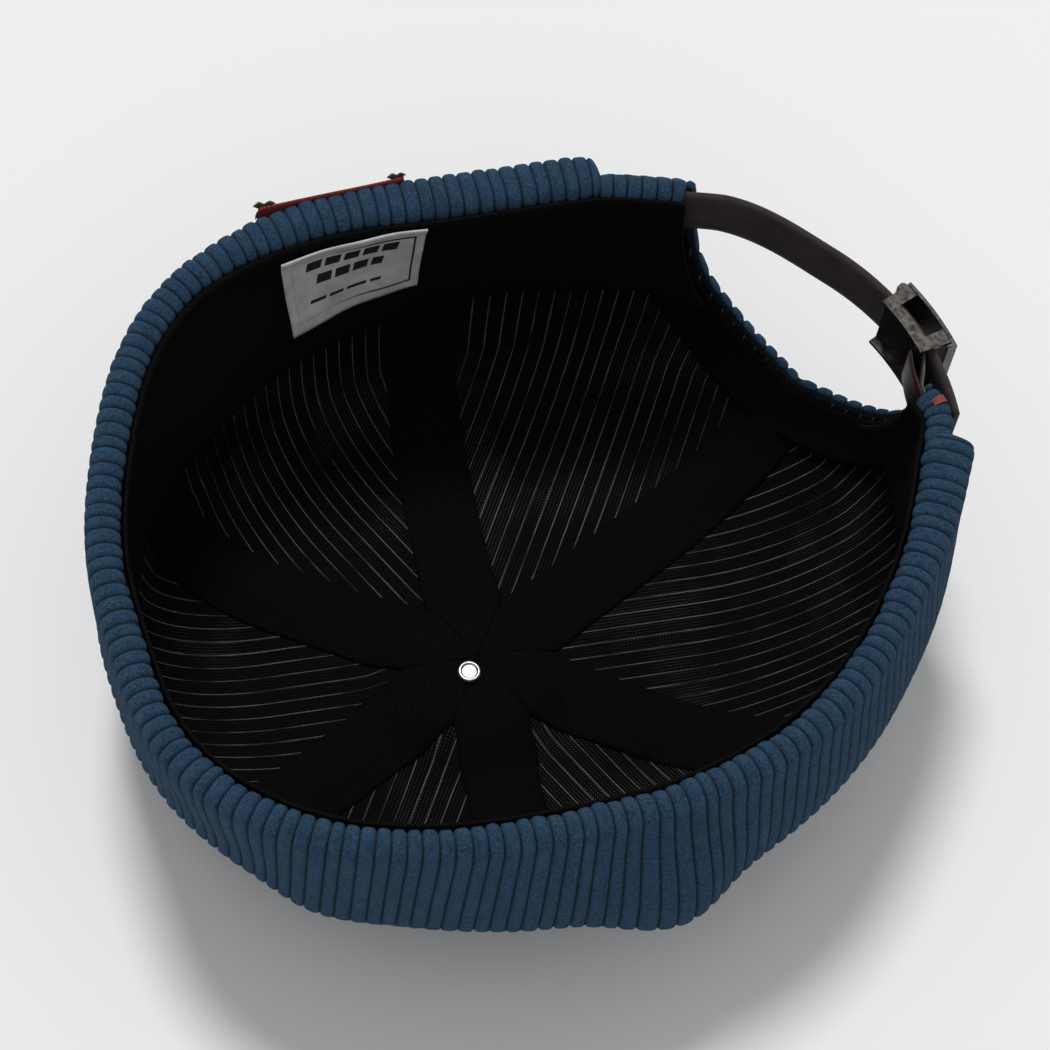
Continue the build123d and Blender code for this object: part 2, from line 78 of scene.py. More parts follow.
joint_places = {joint["name"]: np.array(joint["pos_m"]) / MM for joint in frame["joints"]}
rivet_low, rivet_high = box_mm("rivet")
APEX = np.array((2.5, -6.0))  # where the seams meet, from the middle of the rim
BUTTON_PLACE = np.array((4.4, -10.6))  # and where the button sits
CENTER = ((rivet_low + rivet_high) / 2)[:2] - BUTTON_PLACE
RIM_HEIGHT = box_mm("cuff")[1][2]

RIM_LONG = 101.9
RIM_SHORT = 84.0
RIM_TURN = 76.3
CROWN_FACE = 0.9
CORNER_DROP = 35.0
CORNER_REACH = 0.45
WALL_TAPER = 0.01
LEAN = 5.0
LEAN_DIRECTION = 20.0
DIMPLE_RADIUS = 26.0
DIMPLE_FLAT_RADIUS = 12.0
DIMPLE_DEPTH = 4.6

WALE = 3.52  # width of one corduroy rib
RIB_HEIGHT = 0.95
RIB_SQUARENESS = 4.0
CROWN_CLOTH = 2.0
LINING_CLOTH = (2.45, 2.95)
TAPE_CLOTH = (3.2, 3.9)
FACING_CLOTH = (4.1, 4.7)
SWEATBAND_CLOTH = (6.4, 7.2)
LABEL_DEPTH = 8.0
PATCH_DEPTH = -3.4
PATCH_THICKNESS = 0.6

# Soft waves round the cap, as (how many, height, phase), and bumps, as (direction, width, height).
RIM_OUT = 0.87
RIM_WAVES = ((1, 1.93, -95), (2, 1.58, 177), (3, 1.93, 127), (4, 2.98, -34))
RIM_BUMPS = ((198, 22, 4.3), (254, 12, -2.6), (166, 12, 0.8))
HEM_OUT = -0.5
HEM_WAVES = ((1, 5.6, -20), (2, 1.2, 0))
HEM_BUMPS = ((343, 9, 6.5), (293, 8, 2.5), (252, 12, -2.0))
HEM_TUCK = 1.2  # how far the hem is drawn in on the right side
HEM_TUCK_DIRECTION = 22
EAR_FLARES = ((113, 7, 3.3), (64, 5, 3.2))  # the arch's two ears stand outward

ARCH_CENTER_X = 0.5
ARCH_HALF_WIDTH = 37.5
ARCH_DEPTH = 50.0
EAR_ANGLES = (61.0, 125.0)
EAR_DROP = 3.2  # top of the crown's cloth where the cuff leaves it bare
HIDDEN_DROP = 6.0  # and where the cuff covers it
SEAM_SLOPE = np.tan(np.radians(30.0))
SEAM_OVERLAP = 0.3  # how far each gore runs past its seam, into the next one


def ease(value, start, end):
    """0 before start, 1 after end, and smooth between them."""
    share = np.clip((np.asarray(value, float) - start) / (end - start), 0, 1)
    return share * share * (3 - 2 * share)


def cosd(angle):
    return np.cos(np.radians(angle))


def sind(angle):
    return np.sin(np.radians(angle))


# ---- The wall surface ---------------------------------------------------------------------------


def back_share(angle):
    """1 in the back stretch that the strap crosses, where the cloth keeps to the CAD's wall."""
    turned = np.mod(angle, 360)
    return ease(turned, 54, 68) * (1 - ease(turned, 116, 130))


def waves(angle, table):
    return sum(height * cosd(count * angle + phase) for count, height, phase in table)


def bumps(angle, table):
    """Soft bumps, each in one direction."""
    total = 0.0
    for middle, width, height in table:
        off = np.mod(angle - middle + 180, 360) - 180
        total = total + height * np.exp(-((off / width) ** 2))
    return total


def sway(angle, drop):
    """How far soft cloth stands outside the rim's oval, or inside it, at one depth."""
    rim = RIM_OUT + waves(angle, RIM_WAVES) + bumps(angle, RIM_BUMPS)
    tuck = HEM_TUCK * np.clip(cosd(angle - HEM_TUCK_DIRECTION), 0, 1) ** 6
    hem = HEM_OUT + waves(angle, HEM_WAVES) + bumps(angle, HEM_BUMPS) - tuck
    down = ease(drop, 0, 38)
    fade = 0.5 + 0.5 * np.cos(np.pi * np.clip((drop - 40) / 40, 0, 1))
    free = (rim * (1 - down) + hem * down) * fade
    held = LEAN * np.sin(np.pi * drop / RIM_HEIGHT) * cosd(angle - LEAN_DIRECTION)
    back = back_share(angle)
    flare = bumps(angle, EAR_FLARES) * (1 - ease(drop, 8, 45))
    return free * (1 - back) + held * back + flare


def oval(angle):
    """Distance from the middle of the rim to the rim's oval."""
    turned = angle - RIM_TURN
    return 1 / np.hypot(cosd(turned) / RIM_LONG, sind(turned) / RIM_SHORT)


def share_at(drop):
    """Share of the oval that the wall keeps at one depth."""
    down = np.clip((drop - CORNER_DROP) / (RIM_HEIGHT - CORNER_DROP), 0, 1)
    corner = CORNER_REACH * (1 - np.sqrt(1 - down * down))
    return 1 - WALL_TAPER * np.clip(drop / CORNER_DROP, 0, 1) - corner


def radius_at(angle, drop):
    return (oval(angle) + CROWN_FACE) * share_at(drop) + sway(angle, drop)


def wall_face(angle, drop):
    """Points on the crown's outer face, from a direction and a depth below the rim."""
    radius = radius_at(angle, drop)
    x = CENTER[0] + radius * cosd(angle)
    y = CENTER[1] + radius * sind(angle)
    return np.stack([x, y, RIM_HEIGHT - drop + 0 * x], axis=-1)


def wall(angle, drop, depth):
    """Points at a depth inside the crown's outer face."""
    angle, drop, depth = np.broadcast_arrays(*(np.asarray(a, float) for a in (angle, drop, depth)))
    level = np.clip(drop, 0.0, 78.0)
    around = wall_face(angle + 0.5, level) - wall_face(angle - 0.5, level)
    downward = wall_face(angle, level + 0.5) - wall_face(angle, level - 0.5)
    normal = np.cross(downward, around)
    normal /= np.linalg.norm(normal, axis=-1, keepdims=True)
    return wall_face(angle, drop) - depth[..., None] * normal


def seam_distance(points):
    """Distance in plan from the nearest of the six seams."""
    x = points[..., 0] - CENTER[0] - APEX[0]
    y = points[..., 1] - CENTER[1] - APEX[1]
    angle = np.degrees(np.arctan2(y, x))
    off = np.mod(angle - 90 + 30, 60) - 30
    return np.abs(np.hypot(x, y) * sind(off))


def crown_levels(top_drop):
    """The crown's profile from the rim to the middle, as (drop, share of the flat top left)."""
    wall_drops = np.linspace(top_drop, CORNER_DROP, 16)
    turns = np.linspace(4, 90, 22)
    corner_drops = CORNER_DROP + (RIM_HEIGHT - CORNER_DROP) * sind(turns)
    levels = [(drop, 1.0) for drop in wall_drops] + [(drop, 1.0) for drop in corner_drops]
    return levels + [(RIM_HEIGHT, spread) for spread in np.linspace(0.95, 0.0, 20)]


def arch_outline(x, drop, grow):
    """Below 1 inside the arch at the back."""
    wide = ARCH_HALF_WIDTH + grow
    return np.hypot((x - CENTER[0] - ARCH_CENTER_X) / wide, drop / (ARCH_DEPTH + grow))


def crown_top(angle):
    """Depth of the crown cloth's top edge."""
    turned = np.mod(angle, 360)
    bare = ease(turned, EAR_ANGLES[0] - 2, EAR_ANGLES[0])
    bare = bare * (1 - ease(turned, EAR_ANGLES[1], EAR_ANGLES[1] + 2))
    return HIDDEN_DROP + (EAR_DROP - HIDDEN_DROP) * bare


def drape(direction, columns, rows, top_drop, arch_grow, spread_at_seam):
    """Cloth laid on the crown in columns that keep their distance from one line of the gore.

    The line runs from the apex in `direction`. A column starts at the rim or the arch, and ends at
    the seam. Returns the points (column, row, xyz) on the crown's outer face.
    """
    along = np.array((cosd(direction), sind(direction)))
    across = np.array((-along[1], along[0]))
    angles = direction + np.arange(-60.0, 60.5, 1.0)
    levels = crown_levels(0.0 if top_drop is None else top_drop)
    far = []
    seams = []
    for drop, spread in levels:
        plan = radius_at(angles, drop)[:, None] * np.stack([cosd(angles), sind(angles)], axis=-1)
        from_apex = (plan - APEX) * spread
        v = from_apex @ along
        u = from_apex @ across
        left = np.interp(0, u - v * SEAM_SLOPE, u)
        right = np.interp(0, u + v * SEAM_SLOPE, u)
        far.append((u, v))
        seams.append((right, left))
    seams = np.array(seams)
    knee = next(i for i, (drop, spread) in enumerate(levels) if drop > 60)
    stretch = np.ones_like(seams)
    if spread_at_seam:
        stretch[:knee] = seams[:knee] / seams[knee]
        columns = np.asarray(columns)
        edge = seams[knee]
        inside = columns[(columns > edge[0] + 0.2) & (columns < edge[1] - 0.2)]
        columns = np.concatenate([[edge[0] - SEAM_OVERLAP], inside, [edge[1] + SEAM_OVERLAP]])
    points = np.zeros((len(levels), len(columns), 3))
    room = np.zeros((len(levels), len(columns)))
    for i, (drop, spread) in enumerate(levels):
        side = (np.asarray(columns) > 0).astype(int)
        u = columns * stretch[i][side]
        v = np.interp(u, *far[i])
        plan = CENTER + APEX + v[:, None] * along + u[:, None] * across
        points[i, :, :2] = plan
        points[i, :, 2] = RIM_HEIGHT - drop
        room[i] = v * SEAM_SLOPE - np.abs(u)
        if spread_at_seam:
            room[i] += SEAM_OVERLAP * (3.5 if i < knee else 2.0)
    drops = RIM_HEIGHT - points[..., 2]
    bearing = np.degrees(
        np.arctan2(points[..., 1] - CENTER[1], points[..., 0] - CENTER[0])
    )
    start = drops - crown_top(bearing) if top_drop is None else drops - top_drop + 0.001
    behind = points[..., 1] > CENTER[1] + 20
    if arch_grow is not None:
        arch = 40 * (arch_outline(points[..., 0], drops, arch_grow) - 1)
        start = np.where(behind, np.minimum(start, arch), start)
    cloth = np.zeros((len(columns), rows, 3))
    for j in range(len(columns)):
        first = max(np.flatnonzero(start[:, j] < 0), default=-1)
        last = np.flatnonzero(room[:, j] >= 0)[-1]
        low = 0.0
        if first >= 0:
            low = first + start[first, j] / (start[first, j] - start[first + 1, j])
        high = float(last)
        if last + 1 < len(levels):
            high = last + room[last, j] / (room[last, j] - room[last + 1, j])
        low = min(low, high - 0.05)
        marks = np.concatenate([[low], np.arange(np.floor(low) + 1, np.ceil(high)), [high]])
        numbers = np.arange(len(levels))
        line = np.stack([np.interp(marks, numbers, points[:, j, k]) for k in range(3)])
        steps = np.concatenate([[0], np.cumsum(np.linalg.norm(np.diff(line), axis=0))])
        wanted = np.linspace(0, steps[-1], rows)
        cloth[j] = np.stack([np.interp(wanted, steps, line[k]) for k in range(3)], axis=-1)
    return np.asarray(columns), relief(cloth)


def grid_normals(grid):
    """Outward normals of a grid of points (column, row, xyz) on the crown."""
    around = np.gradient(grid, axis=0)
    down = np.gradient(grid, axis=1)
    normal = np.cross(around, down)
    size = np.linalg.norm(normal, axis=-1, keepdims=True)
    normal = normal / np.maximum(size, 1e-9)
    for edge, inner in ((0, 3), (1, 3), (-1, -4), (-2, -4)):
        normal[edge, -8:] = normal[inner, -8:]
    normal[:, -2:] = normal[:, -3:-2]
    middle = np.array((CENTER[0], CENTER[1], 0.6 * RIM_HEIGHT))
    facing = np.sum(normal * (grid - middle), axis=-1)
    return normal * np.sign(facing.sum())


def relief(grid):
    """Sinks the crown's middle for the button, and pulls the cloth in along the seams."""
    grid = grid.copy()
    apart = grid[..., :2] - CENTER - BUTTON_PLACE
    from_button = np.hypot(apart[..., 0], apart[..., 1])
    dish = DIMPLE_DEPTH * (1 - ease(from_button, DIMPLE_FLAT_RADIUS, DIMPLE_RADIUS))
    flat = grid[..., 2] < 1
    grid[..., 2] += np.where(flat, dish, 0)
    reach = np.hypot(grid[..., 0] - CENTER[0] - APEX[0], grid[..., 1] - CENTER[1] - APEX[1])
    pull = 1.3 * np.exp(-((seam_distance(grid) / 4.5) ** 2))
    pull = pull * ease(RIM_HEIGHT - grid[..., 2], 4, 45) * ease(reach, 6, 30)
    return grid - pull[..., None] * grid_normals(grid)


# ---- Meshes -------------------------------------------------------------------------------------


def rib(distance):
    """Height of the corduroy's pile, 0 in a groove to 1 on a rib, across the ribs."""
    phase = np.mod(distance / WALE, 1)
    return 1 - np.abs(2 * phase - 1) ** RIB_SQUARENESS


def piece(name, material, body, points, faces, uvs=None, ribs=None, flat=False):
    """A mesh piece in metres, riding on a body, with its finish."""
    mesh = bpy.data.meshes.new(name)
    mesh.from_pydata((np.asarray(points).reshape(-1, 3) * MM).tolist(), [], faces)
    mesh.validate()
    mesh.update()
    if uvs is not None:
        layer = mesh.uv_layers.new(name="cloth")
        corners = np.zeros(len(mesh.loops), int)
        mesh.loops.foreach_get("vertex_index", corners)
        table = np.asarray(uvs).reshape(-1, 2)[corners] * MM
        layer.data.foreach_set("uv", table.astype(np.float32).ravel())
    if ribs is not None:
        attribute = mesh.attributes.new("rib", "FLOAT", "POINT")
        attribute.data.foreach_set("value", np.asarray(ribs).astype(np.float32).ravel())
    if not flat:
        mesh.polygons.foreach_set("use_smooth", np.ones(len(mesh.polygons), bool))
    thing = bpy.data.objects.new(name, mesh)
    bpy.context.scene.collection.objects.link(thing)
    mesh.materials.append(material)
    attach(thing, body)
    return thing


def ring_faces(count, size, closed=False):
    """Faces of a tube of rings, each a closed loop of points."""
    faces = []
    for j in range(count if closed else count - 1):
        here = j * size
        there = ((j + 1) % count) * size
        for i in range(size):
            k = (i + 1) % size
            faces.append((here + i, there + i, there + k, here + k))
    return faces


def end_faces(start, rows, extra=0, turned=False):
    """Closes one end ring: pairs of points across the cloth, and the rolled edge's few."""
    size = 2 * rows + extra
    faces = [
        (start + i, start + i + 1, start + 2 * rows - 2 - i, start + 2 * rows - 1 - i)
        for i in range(rows - 1)
    ]
    if extra:
        faces.append(tuple([start] + [start + k for k in range(2 * rows - 1, size)]))
    return [face[::-1] for face in faces] if turned else faces


def sandwich(front, back, roll=None):
    """Rings that run along the cloth's front, back along its other face, and round its edge."""
    parts = [front, back[:, ::-1]]
    if roll is not None:
        parts.append(roll)
    rings = np.concatenate(parts, axis=1)
    count, size = rings.shape[:2]
    rows = front.shape[1]
    extra = 0 if roll is None else roll.shape[1]
    faces = ring_faces(count, size)
    faces += end_faces(0, rows, extra)
    faces += end_faces((count - 1) * size, rows, extra, turned=True)
    return rings, faces


def plain_sheet(front, back, uv):
    """A thin cloth between two grids, with its flat coordinates."""
    rings, faces = sandwich(front, back)
    uvs = np.concatenate([uv, uv[:, ::-1]], axis=1)
    return rings, faces, uvs


# ---- Materials ----------------------------------------------------------------------------------


class Finish:
    """One procedural material, built node by node."""

    def __init__(self, name, colour, roughness, metallic=0.0, sheen=0.0, specular=0.5):
        self.material = bpy.data.materials.new(name)
        self.material.use_nodes = True
        self.tree = self.material.node_tree
        self.shader = self.tree.nodes["Principled BSDF"]
        self.shader.inputs["Base Color"].default_value = (*colour, 1)
        self.shader.inputs["Roughness"].default_value = roughness
        self.shader.inputs["Metallic"].default_value = metallic
        self.shader.inputs["Sheen Weight"].default_value = sheen
        self.shader.inputs["Specular IOR Level"].default_value = specular

    def node(self, kind, links=(), **settings):
        made = self.tree.nodes.new(kind)
        for key, value in settings.items():
            setattr(made, key, value)
        for socket, source in dict(links).items():
            if isinstance(source, (int, float, tuple)):
                made.inputs[socket].default_value = source
            else:
                self.tree.links.new(source, made.inputs[socket])
        return made

    def math(self, operation, *sources):
        made = self.node("ShaderNodeMath", dict(enumerate(sources)), operation=operation)
        return made.outputs[0]

    def place(self, stretch=(1, 1, 1), uv=False):
        coordinates = self.node("ShaderNodeTexCoord").outputs["UV" if uv else "Object"]
        links = {"Vector": coordinates, "Scale": stretch}
        return self.node("ShaderNodeMapping", links).outputs["Vector"]

    def noise(self, scale, place=None, detail=3.0, rough=0.6):
        links = {"Scale": scale, "Detail": detail, "Roughness": rough}
        links["Vector"] = place if place is not None else self.place()
        return self.node("ShaderNodeTexNoise", links).outputs["Fac"]

    def spread(self, value, low, high, to_low=0.0, to_high=1.0):
        links = {"Value": value, 1: low, 2: high, 3: to_low, 4: to_high}
        return self.node("ShaderNodeMapRange", links).outputs[0]

    def mix(self, share, first, second):
        links = {"Factor": share, 6: first, 7: second}
        return self.node("ShaderNodeMix", links, data_type="RGBA").outputs[2]

    def attribute(self, name):
        return self.node("ShaderNodeAttribute", attribute_name=name).outputs["Fac"]

    def colour(self, source):
        self.tree.links.new(source, self.shader.inputs["Base Color"])

    def roughness(self, source):
        self.tree.links.new(source, self.shader.inputs["Roughness"])

    def bump(self, height, distance, strength=1.0):
        links = {"Height": height, "Distance": distance * MM, "Strength": strength}
        bump = self.node("ShaderNodeBump", links)
        self.tree.links.new(bump.outputs["Normal"], self.shader.inputs["Normal"])


def corduroy():
    finish = Finish("corduroy", (0.03, 0.063, 0.115), 0.95, sheen=0.1, specular=0.1)
    finish.shader.inputs["Sheen Roughness"].default_value = 0.5
    finish.shader.inputs["Sheen Tint"].default_value = (0.45, 0.65, 0.9, 1)
    rib_height = finish.attribute("rib")
    nap = finish.noise(1300, detail=5, rough=0.85)
    patches = finish.noise(260, detail=2)
    fibres = finish.noise(2600, detail=3, rough=0.8)
    tuft = finish.spread(nap, 0.36, 0.62)
    pile = finish.mix(tuft, (0.006, 0.022, 0.05, 1), (0.032, 0.092, 0.18, 1))
    pale = finish.mix(finish.spread(patches, 0.45, 0.75, 0, 0.35), pile, (0.055, 0.115, 0.19, 1))
    tips = finish.mix(finish.spread(fibres, 0.54, 0.66, 0, 0.6), pale, (0.08, 0.175, 0.3, 1))
    # Painted shade: where the pile is low (the grooves between the ribs, the flattened pile along the
    # seams and the cloth's hidden back face), the colour is painted near-black.
    groove_shade = finish.spread(rib_height, 0.02, 0.7)
    finish.colour(finish.mix(groove_shade, (0.002, 0.004, 0.008, 1), tips))
    height = finish.math("MULTIPLY_ADD", nap, 0.6, finish.math("MULTIPLY", fibres, 0.4))
    finish.bump(height, 1.3, 1.0)
    return finish.material


WEAVE = 3800  # radians of the lining's weave to a metre


def lining():
    """Black cloth with a light dotted thread at each rib's pitch, along the gore."""
    finish = Finish("lining", (0.0025, 0.0025, 0.0028), 0.9, specular=0.03)
    cloth = finish.place(uv=True)
    parts = finish.node("ShaderNodeSeparateXYZ", {"Vector": cloth})
    across = finish.math("DIVIDE", parts.outputs["X"], WALE * MM)
    off_line = finish.math("ABSOLUTE", finish.math("SUBTRACT", finish.math("FRACT", across), 0.5))
    on_line = finish.spread(off_line, 0.02, 0.05, 1, 0)
    line_place = finish.place((250, 1, 1), uv=True)
    dashes = finish.noise(2600, line_place, detail=2, rough=0.8)
    stretches = finish.noise(70, detail=2)
    lit = finish.math("MULTIPLY", on_line, finish.spread(dashes, 0.46, 0.6))
    lit = finish.math("MULTIPLY", lit, finish.spread(stretches, 0.34, 0.62, 0.12, 0.9))
    weave_x, weave_y = (
        finish.math("ABSOLUTE", finish.math("SINE", finish.math("MULTIPLY", parts.outputs[way], WEAVE)))
        for way in "XY"
    )
    knots = finish.spread(finish.math("MULTIPLY", weave_x, weave_y), 0.7, 0.95)
    dusty = finish.spread(finish.noise(28, detail=3), 0.48, 0.7, 0.02, 0.22)
    specks = finish.math("MULTIPLY", knots, dusty)
    glow = finish.math("MAXIMUM", lit, specks)
    finish.colour(finish.mix(glow, (0.0025, 0.0025, 0.0028, 1), (0.3, 0.3, 0.285, 1)))
    finish.bump(finish.math("ADD", weave_x, weave_y), 0.05, 0.5)
    return finish.material


def twill(name, dark, light, pitch, roughness=0.9):
    """Tightly woven tape or band, with a diagonal rib."""
    finish = Finish(name, dark, roughness, specular=0.03)
    parts = finish.node("ShaderNodeSeparateXYZ", {"Vector": finish.place(uv=True)})
    slant = finish.math("ADD", parts.outputs["X"], parts.outputs["Y"])
    wave = finish.math("SINE", finish.math("MULTIPLY", slant, 2 * np.pi / (pitch * MM)))
    thread = finish.spread(wave, -1, 1)
    fuzz = finish.noise(1800, detail=3)
    share = finish.math("MULTIPLY", thread, finish.spread(fuzz, 0.35, 0.75))
    finish.colour(finish.mix(share, (*dark, 1), (*light, 1)))
    finish.bump(finish.math("ADD", thread, fuzz), 0.08, 0.5)
    return finish.material


def leather(name, dark, light, roughness):
    """Grained leather with pale flecks; the attribute `flesh` turns it to grey suede."""
    finish = Finish(name, dark, roughness, specular=0.35)
    pores = finish.node("ShaderNodeTexVoronoi", {"Vector": finish.place(), "Scale": 1500.0})
    grain = finish.noise(2600, detail=4, rough=0.7)
    cloud = finish.noise(160, detail=3)
    base = finish.mix(finish.spread(cloud, 0.35, 0.7), (*dark, 1), (*light, 1))
    fleck = finish.spread(grain, 0.62, 0.74, 0, 0.5)
    grained = finish.mix(fleck, base, (0.13, 0.115, 0.105, 1))
    suede = finish.mix(finish.spread(grain, 0.35, 0.7), (0.035, 0.03, 0.027, 1), (0.16, 0.145, 0.13, 1))
    finish.colour(finish.mix(finish.attribute("flesh"), grained, suede))
    finish.roughness(finish.spread(cloud, 0.3, 0.7, roughness - 0.08, roughness + 0.12))
    crackle = finish.math("ADD", pores.outputs["Distance"], finish.math("MULTIPLY", grain, 0.8))
    finish.bump(crackle, 0.12, 0.5)
    return finish.material


def metal(name, dark, light, roughness):
    """Plated metal, finely brushed, with a duller bloom in patches."""
    finish = Finish(name, light, roughness, metallic=1.0)
    brushed = finish.noise(700, finish.place((1, 1, 9)), detail=3)
    bloom = finish.noise(240, detail=3)
    dulled = finish.spread(bloom, 0.25, 0.6, 0.4, 1)
    shade = finish.math("MULTIPLY", finish.spread(brushed, 0.3, 0.7), dulled)
    finish.colour(finish.mix(shade, (*dark, 1), (*light, 1)))
    finish.roughness(finish.spread(bloom, 0.3, 0.7, roughness + 0.14, roughness - 0.06))
    finish.bump(brushed, 0.02, 0.4)
    return finish.material


def thread(name, dark, light):
    finish = Finish(name, dark, 0.7, sheen=0.3)
    plies = finish.noise(2600, finish.place((1, 1, 3)), detail=2)
    finish.colour(finish.mix(finish.spread(plies, 0.35, 0.65), (*dark, 1), (*light, 1)))
    finish.bump(plies, 0.08, 0.6)
    return finish.material


LABEL_SIZE = (37.0, 22.0)
LABEL_ROWS = (
    (6.0, 2.6, ((-13.5, -9.5), (-8.5, -4.5), (-3.5, 0.5), (1.5, 5.5), (6.5, 10.5))),
    (1.6, 2.6, ((-10.0, -6.0), (-5.0, -1.0), (0.0, 4.0), (5.0, 8.0))),
    (-4.4, 0.9, ((-11.0, -6.5), (-5.5, -1.5), (-0.5, 5.0), (6.0, 9.0))),
)


def label_cloth():
    """Pale woven label with a fine dark frame, and plain bars where words would be."""
    finish = Finish("label_cloth", (0.5, 0.5, 0.53), 0.85, specular=0.25)
    parts = finish.node("ShaderNodeSeparateXYZ", {"Vector": finish.place(uv=True)})
    x = finish.math("DIVIDE", parts.outputs["X"], MM)
    y = finish.math("DIVIDE", parts.outputs["Y"], MM)
    slanted = finish.math("MULTIPLY_ADD", y, -0.25, x)

    def bar(place, low, high):
        middle = (low + high) / 2
        off = finish.math("ABSOLUTE", finish.math("SUBTRACT", place, middle))
        return finish.spread(off, (high - low) / 2 - 0.1, (high - low) / 2 + 0.1, 1, 0)

    ink = None
    for height, thick, spans in LABEL_ROWS:
        level = bar(y, height - thick / 2, height + thick / 2)
        for low, high in spans:
            mark = finish.math("MULTIPLY", level, bar(slanted, low, high))
            ink = mark if ink is None else finish.math("MAXIMUM", ink, mark)
    half_width, half_height = LABEL_SIZE[0] / 2 - 2.2, LABEL_SIZE[1] / 2 - 2.6
    outer = finish.math("MULTIPLY", bar(x, -half_width, half_width), bar(y, -half_height, half_height))
    inner = finish.math(
        "MULTIPLY",
        bar(x, 0.55 - half_width, half_width - 0.55),
        bar(y, 0.55 - half_height, half_height - 0.55),
    )
    edge = finish.math("SUBTRACT", outer, inner)
    faded = finish.math("MULTIPLY", edge, finish.spread(x, -6, 6, 0.15, 1))
    ink = finish.math("MAXIMUM", ink, faded)
    warp = finish.math("SINE", finish.math("MULTIPLY", parts.outputs["X"], 2 * np.pi / (0.42 * MM)))
    weft = finish.math("SINE", finish.math("MULTIPLY", parts.outputs["Y"], 2 * np.pi / (0.3 * MM)))
    weave = finish.math("ADD", warp, weft)
    soil = finish.noise(230, detail=3)
    pale = finish.mix(finish.spread(soil, 0.3, 0.7), (0.42, 0.42, 0.45, 1), (0.6, 0.6, 0.62, 1))
    pale = finish.mix(finish.spread(weave, -2, 2, 0, 0.25), pale, (0.3, 0.3, 0.32, 1))
    finish.colour(finish.mix(ink, pale, (0.012, 0.012, 0.014, 1)))
    finish.bump(weave, 0.06, 0.5)
    return finish.material


blue_corduroy = corduroy()
black_lining = lining()
black_tape = twill("black_tape", (0.0022, 0.0022, 0.0024), (0.007, 0.007, 0.0072), 0.8)
band_cloth = twill("sweatband", (0.003, 0.003, 0.0032), (0.009, 0.009, 0.0095), 0.9)
strap_leather = leather("strap_leather", (0.034, 0.027, 0.0255), (0.056, 0.045, 0.0425), 0.85)
tab_leather = leather("tab_leather", (0.012, 0.004, 0.0035), (0.024, 0.007, 0.006), 0.38)
clasp_metal = metal("clasp_metal", (0.02, 0.018, 0.017), (0.15, 0.14, 0.13), 0.34)
button_metal = metal("button_metal", (0.3, 0.3, 0.3), (0.7, 0.7, 0.7), 0.4)
rivet_metal = metal("rivet_metal", (0.5, 0.48, 0.44), (0.86, 0.84, 0.79), 0.34)
label_finish = label_cloth()
patch_cloth = twill("patch_cloth", (0.11, 0.018, 0.016), (0.3, 0.055, 0.045), 0.9)
black_thread = thread("black_thread", (0.004, 0.004, 0.005), (0.02, 0.02, 0.022))
red_thread = thread("red_thread", (0.12, 0.012, 0.012), (0.34, 0.04, 0.035))

CAD_FINISHES = {
    "clasp_frame": clasp_metal,
    "clasp_lever": clasp_metal,
    "clasp_pin": clasp_metal,
    "button_shell": button_metal,
    "rivet": rivet_metal,
}
for node_name, finish_material in CAD_FINISHES.items():
    mesh = frame["nodes"][node_name].data
    if not mesh.materials:
        mesh.materials.append(finish_material)
    for number in range(len(mesh.materials)):
        mesh.materials[number] = finish_material

# ---- Crown: six corduroy gores, lined and taped -------------------------------------------------

GORES = ["back_left", "side_left", "front_left", "front_right", "side_right", "back_right"]
SEAMS = ["back", "rear_left", "front_left", "front", "front_right", "rear_right"]
CROWN_ROWS = 58
ROLL_STEPS = 5


def edge_roll(grid, normals, ribs, thickness):
    """The turned edge of the cloth at its first row, as a half round in steps."""
    edge = grid[:, 0]
    normal = normals[:, 0]
    inward = grid[:, 1] - edge
    out = -inward / np.maximum(np.linalg.norm(inward, axis=-1, keepdims=True), 1e-9)
    middle = edge - normal * thickness / 2
    steps = []
    for step in range(ROLL_STEPS):
        turn = np.pi * (1 - (step + 1) / (ROLL_STEPS + 1))
        swell = (ribs - 1) * RIB_HEIGHT * np.cos(turn / 2) ** 2 + ribs * 0.5 * np.sin(turn)
        reach = (thickness / 2 + swell)[:, None]
        steps.append(middle + reach * (np.sin(turn) * out + np.cos(turn) * normal))
    return np.stack(steps, axis=1)


def flat_coordinates(columns, face, from_seam=False):
    """Distance across a cloth, and along it from its top or from its seam."""
    steps = np.linalg.norm(np.diff(face, axis=1, prepend=face[:, :1]), axis=-1)
    lengths = np.cumsum(steps, axis=1)
    if from_seam:
        lengths = lengths[:, -1:] - lengths
    return np.stack([np.broadcast_to(columns[:, None], lengths.shape), lengths], axis=-1)


EAR_FOLDS = {"back_left": (126.0, 113.4, 3.0), "back_right": (67.6, 59.0, 2.9)}
EAR_FOLD_HALF = 3.35
EAR_FOLD_CLOTH = 0.6
EAR_FOLD_DROP = 0.75
EAR_FOLD_SAMPLES = 8  # columns to a rib


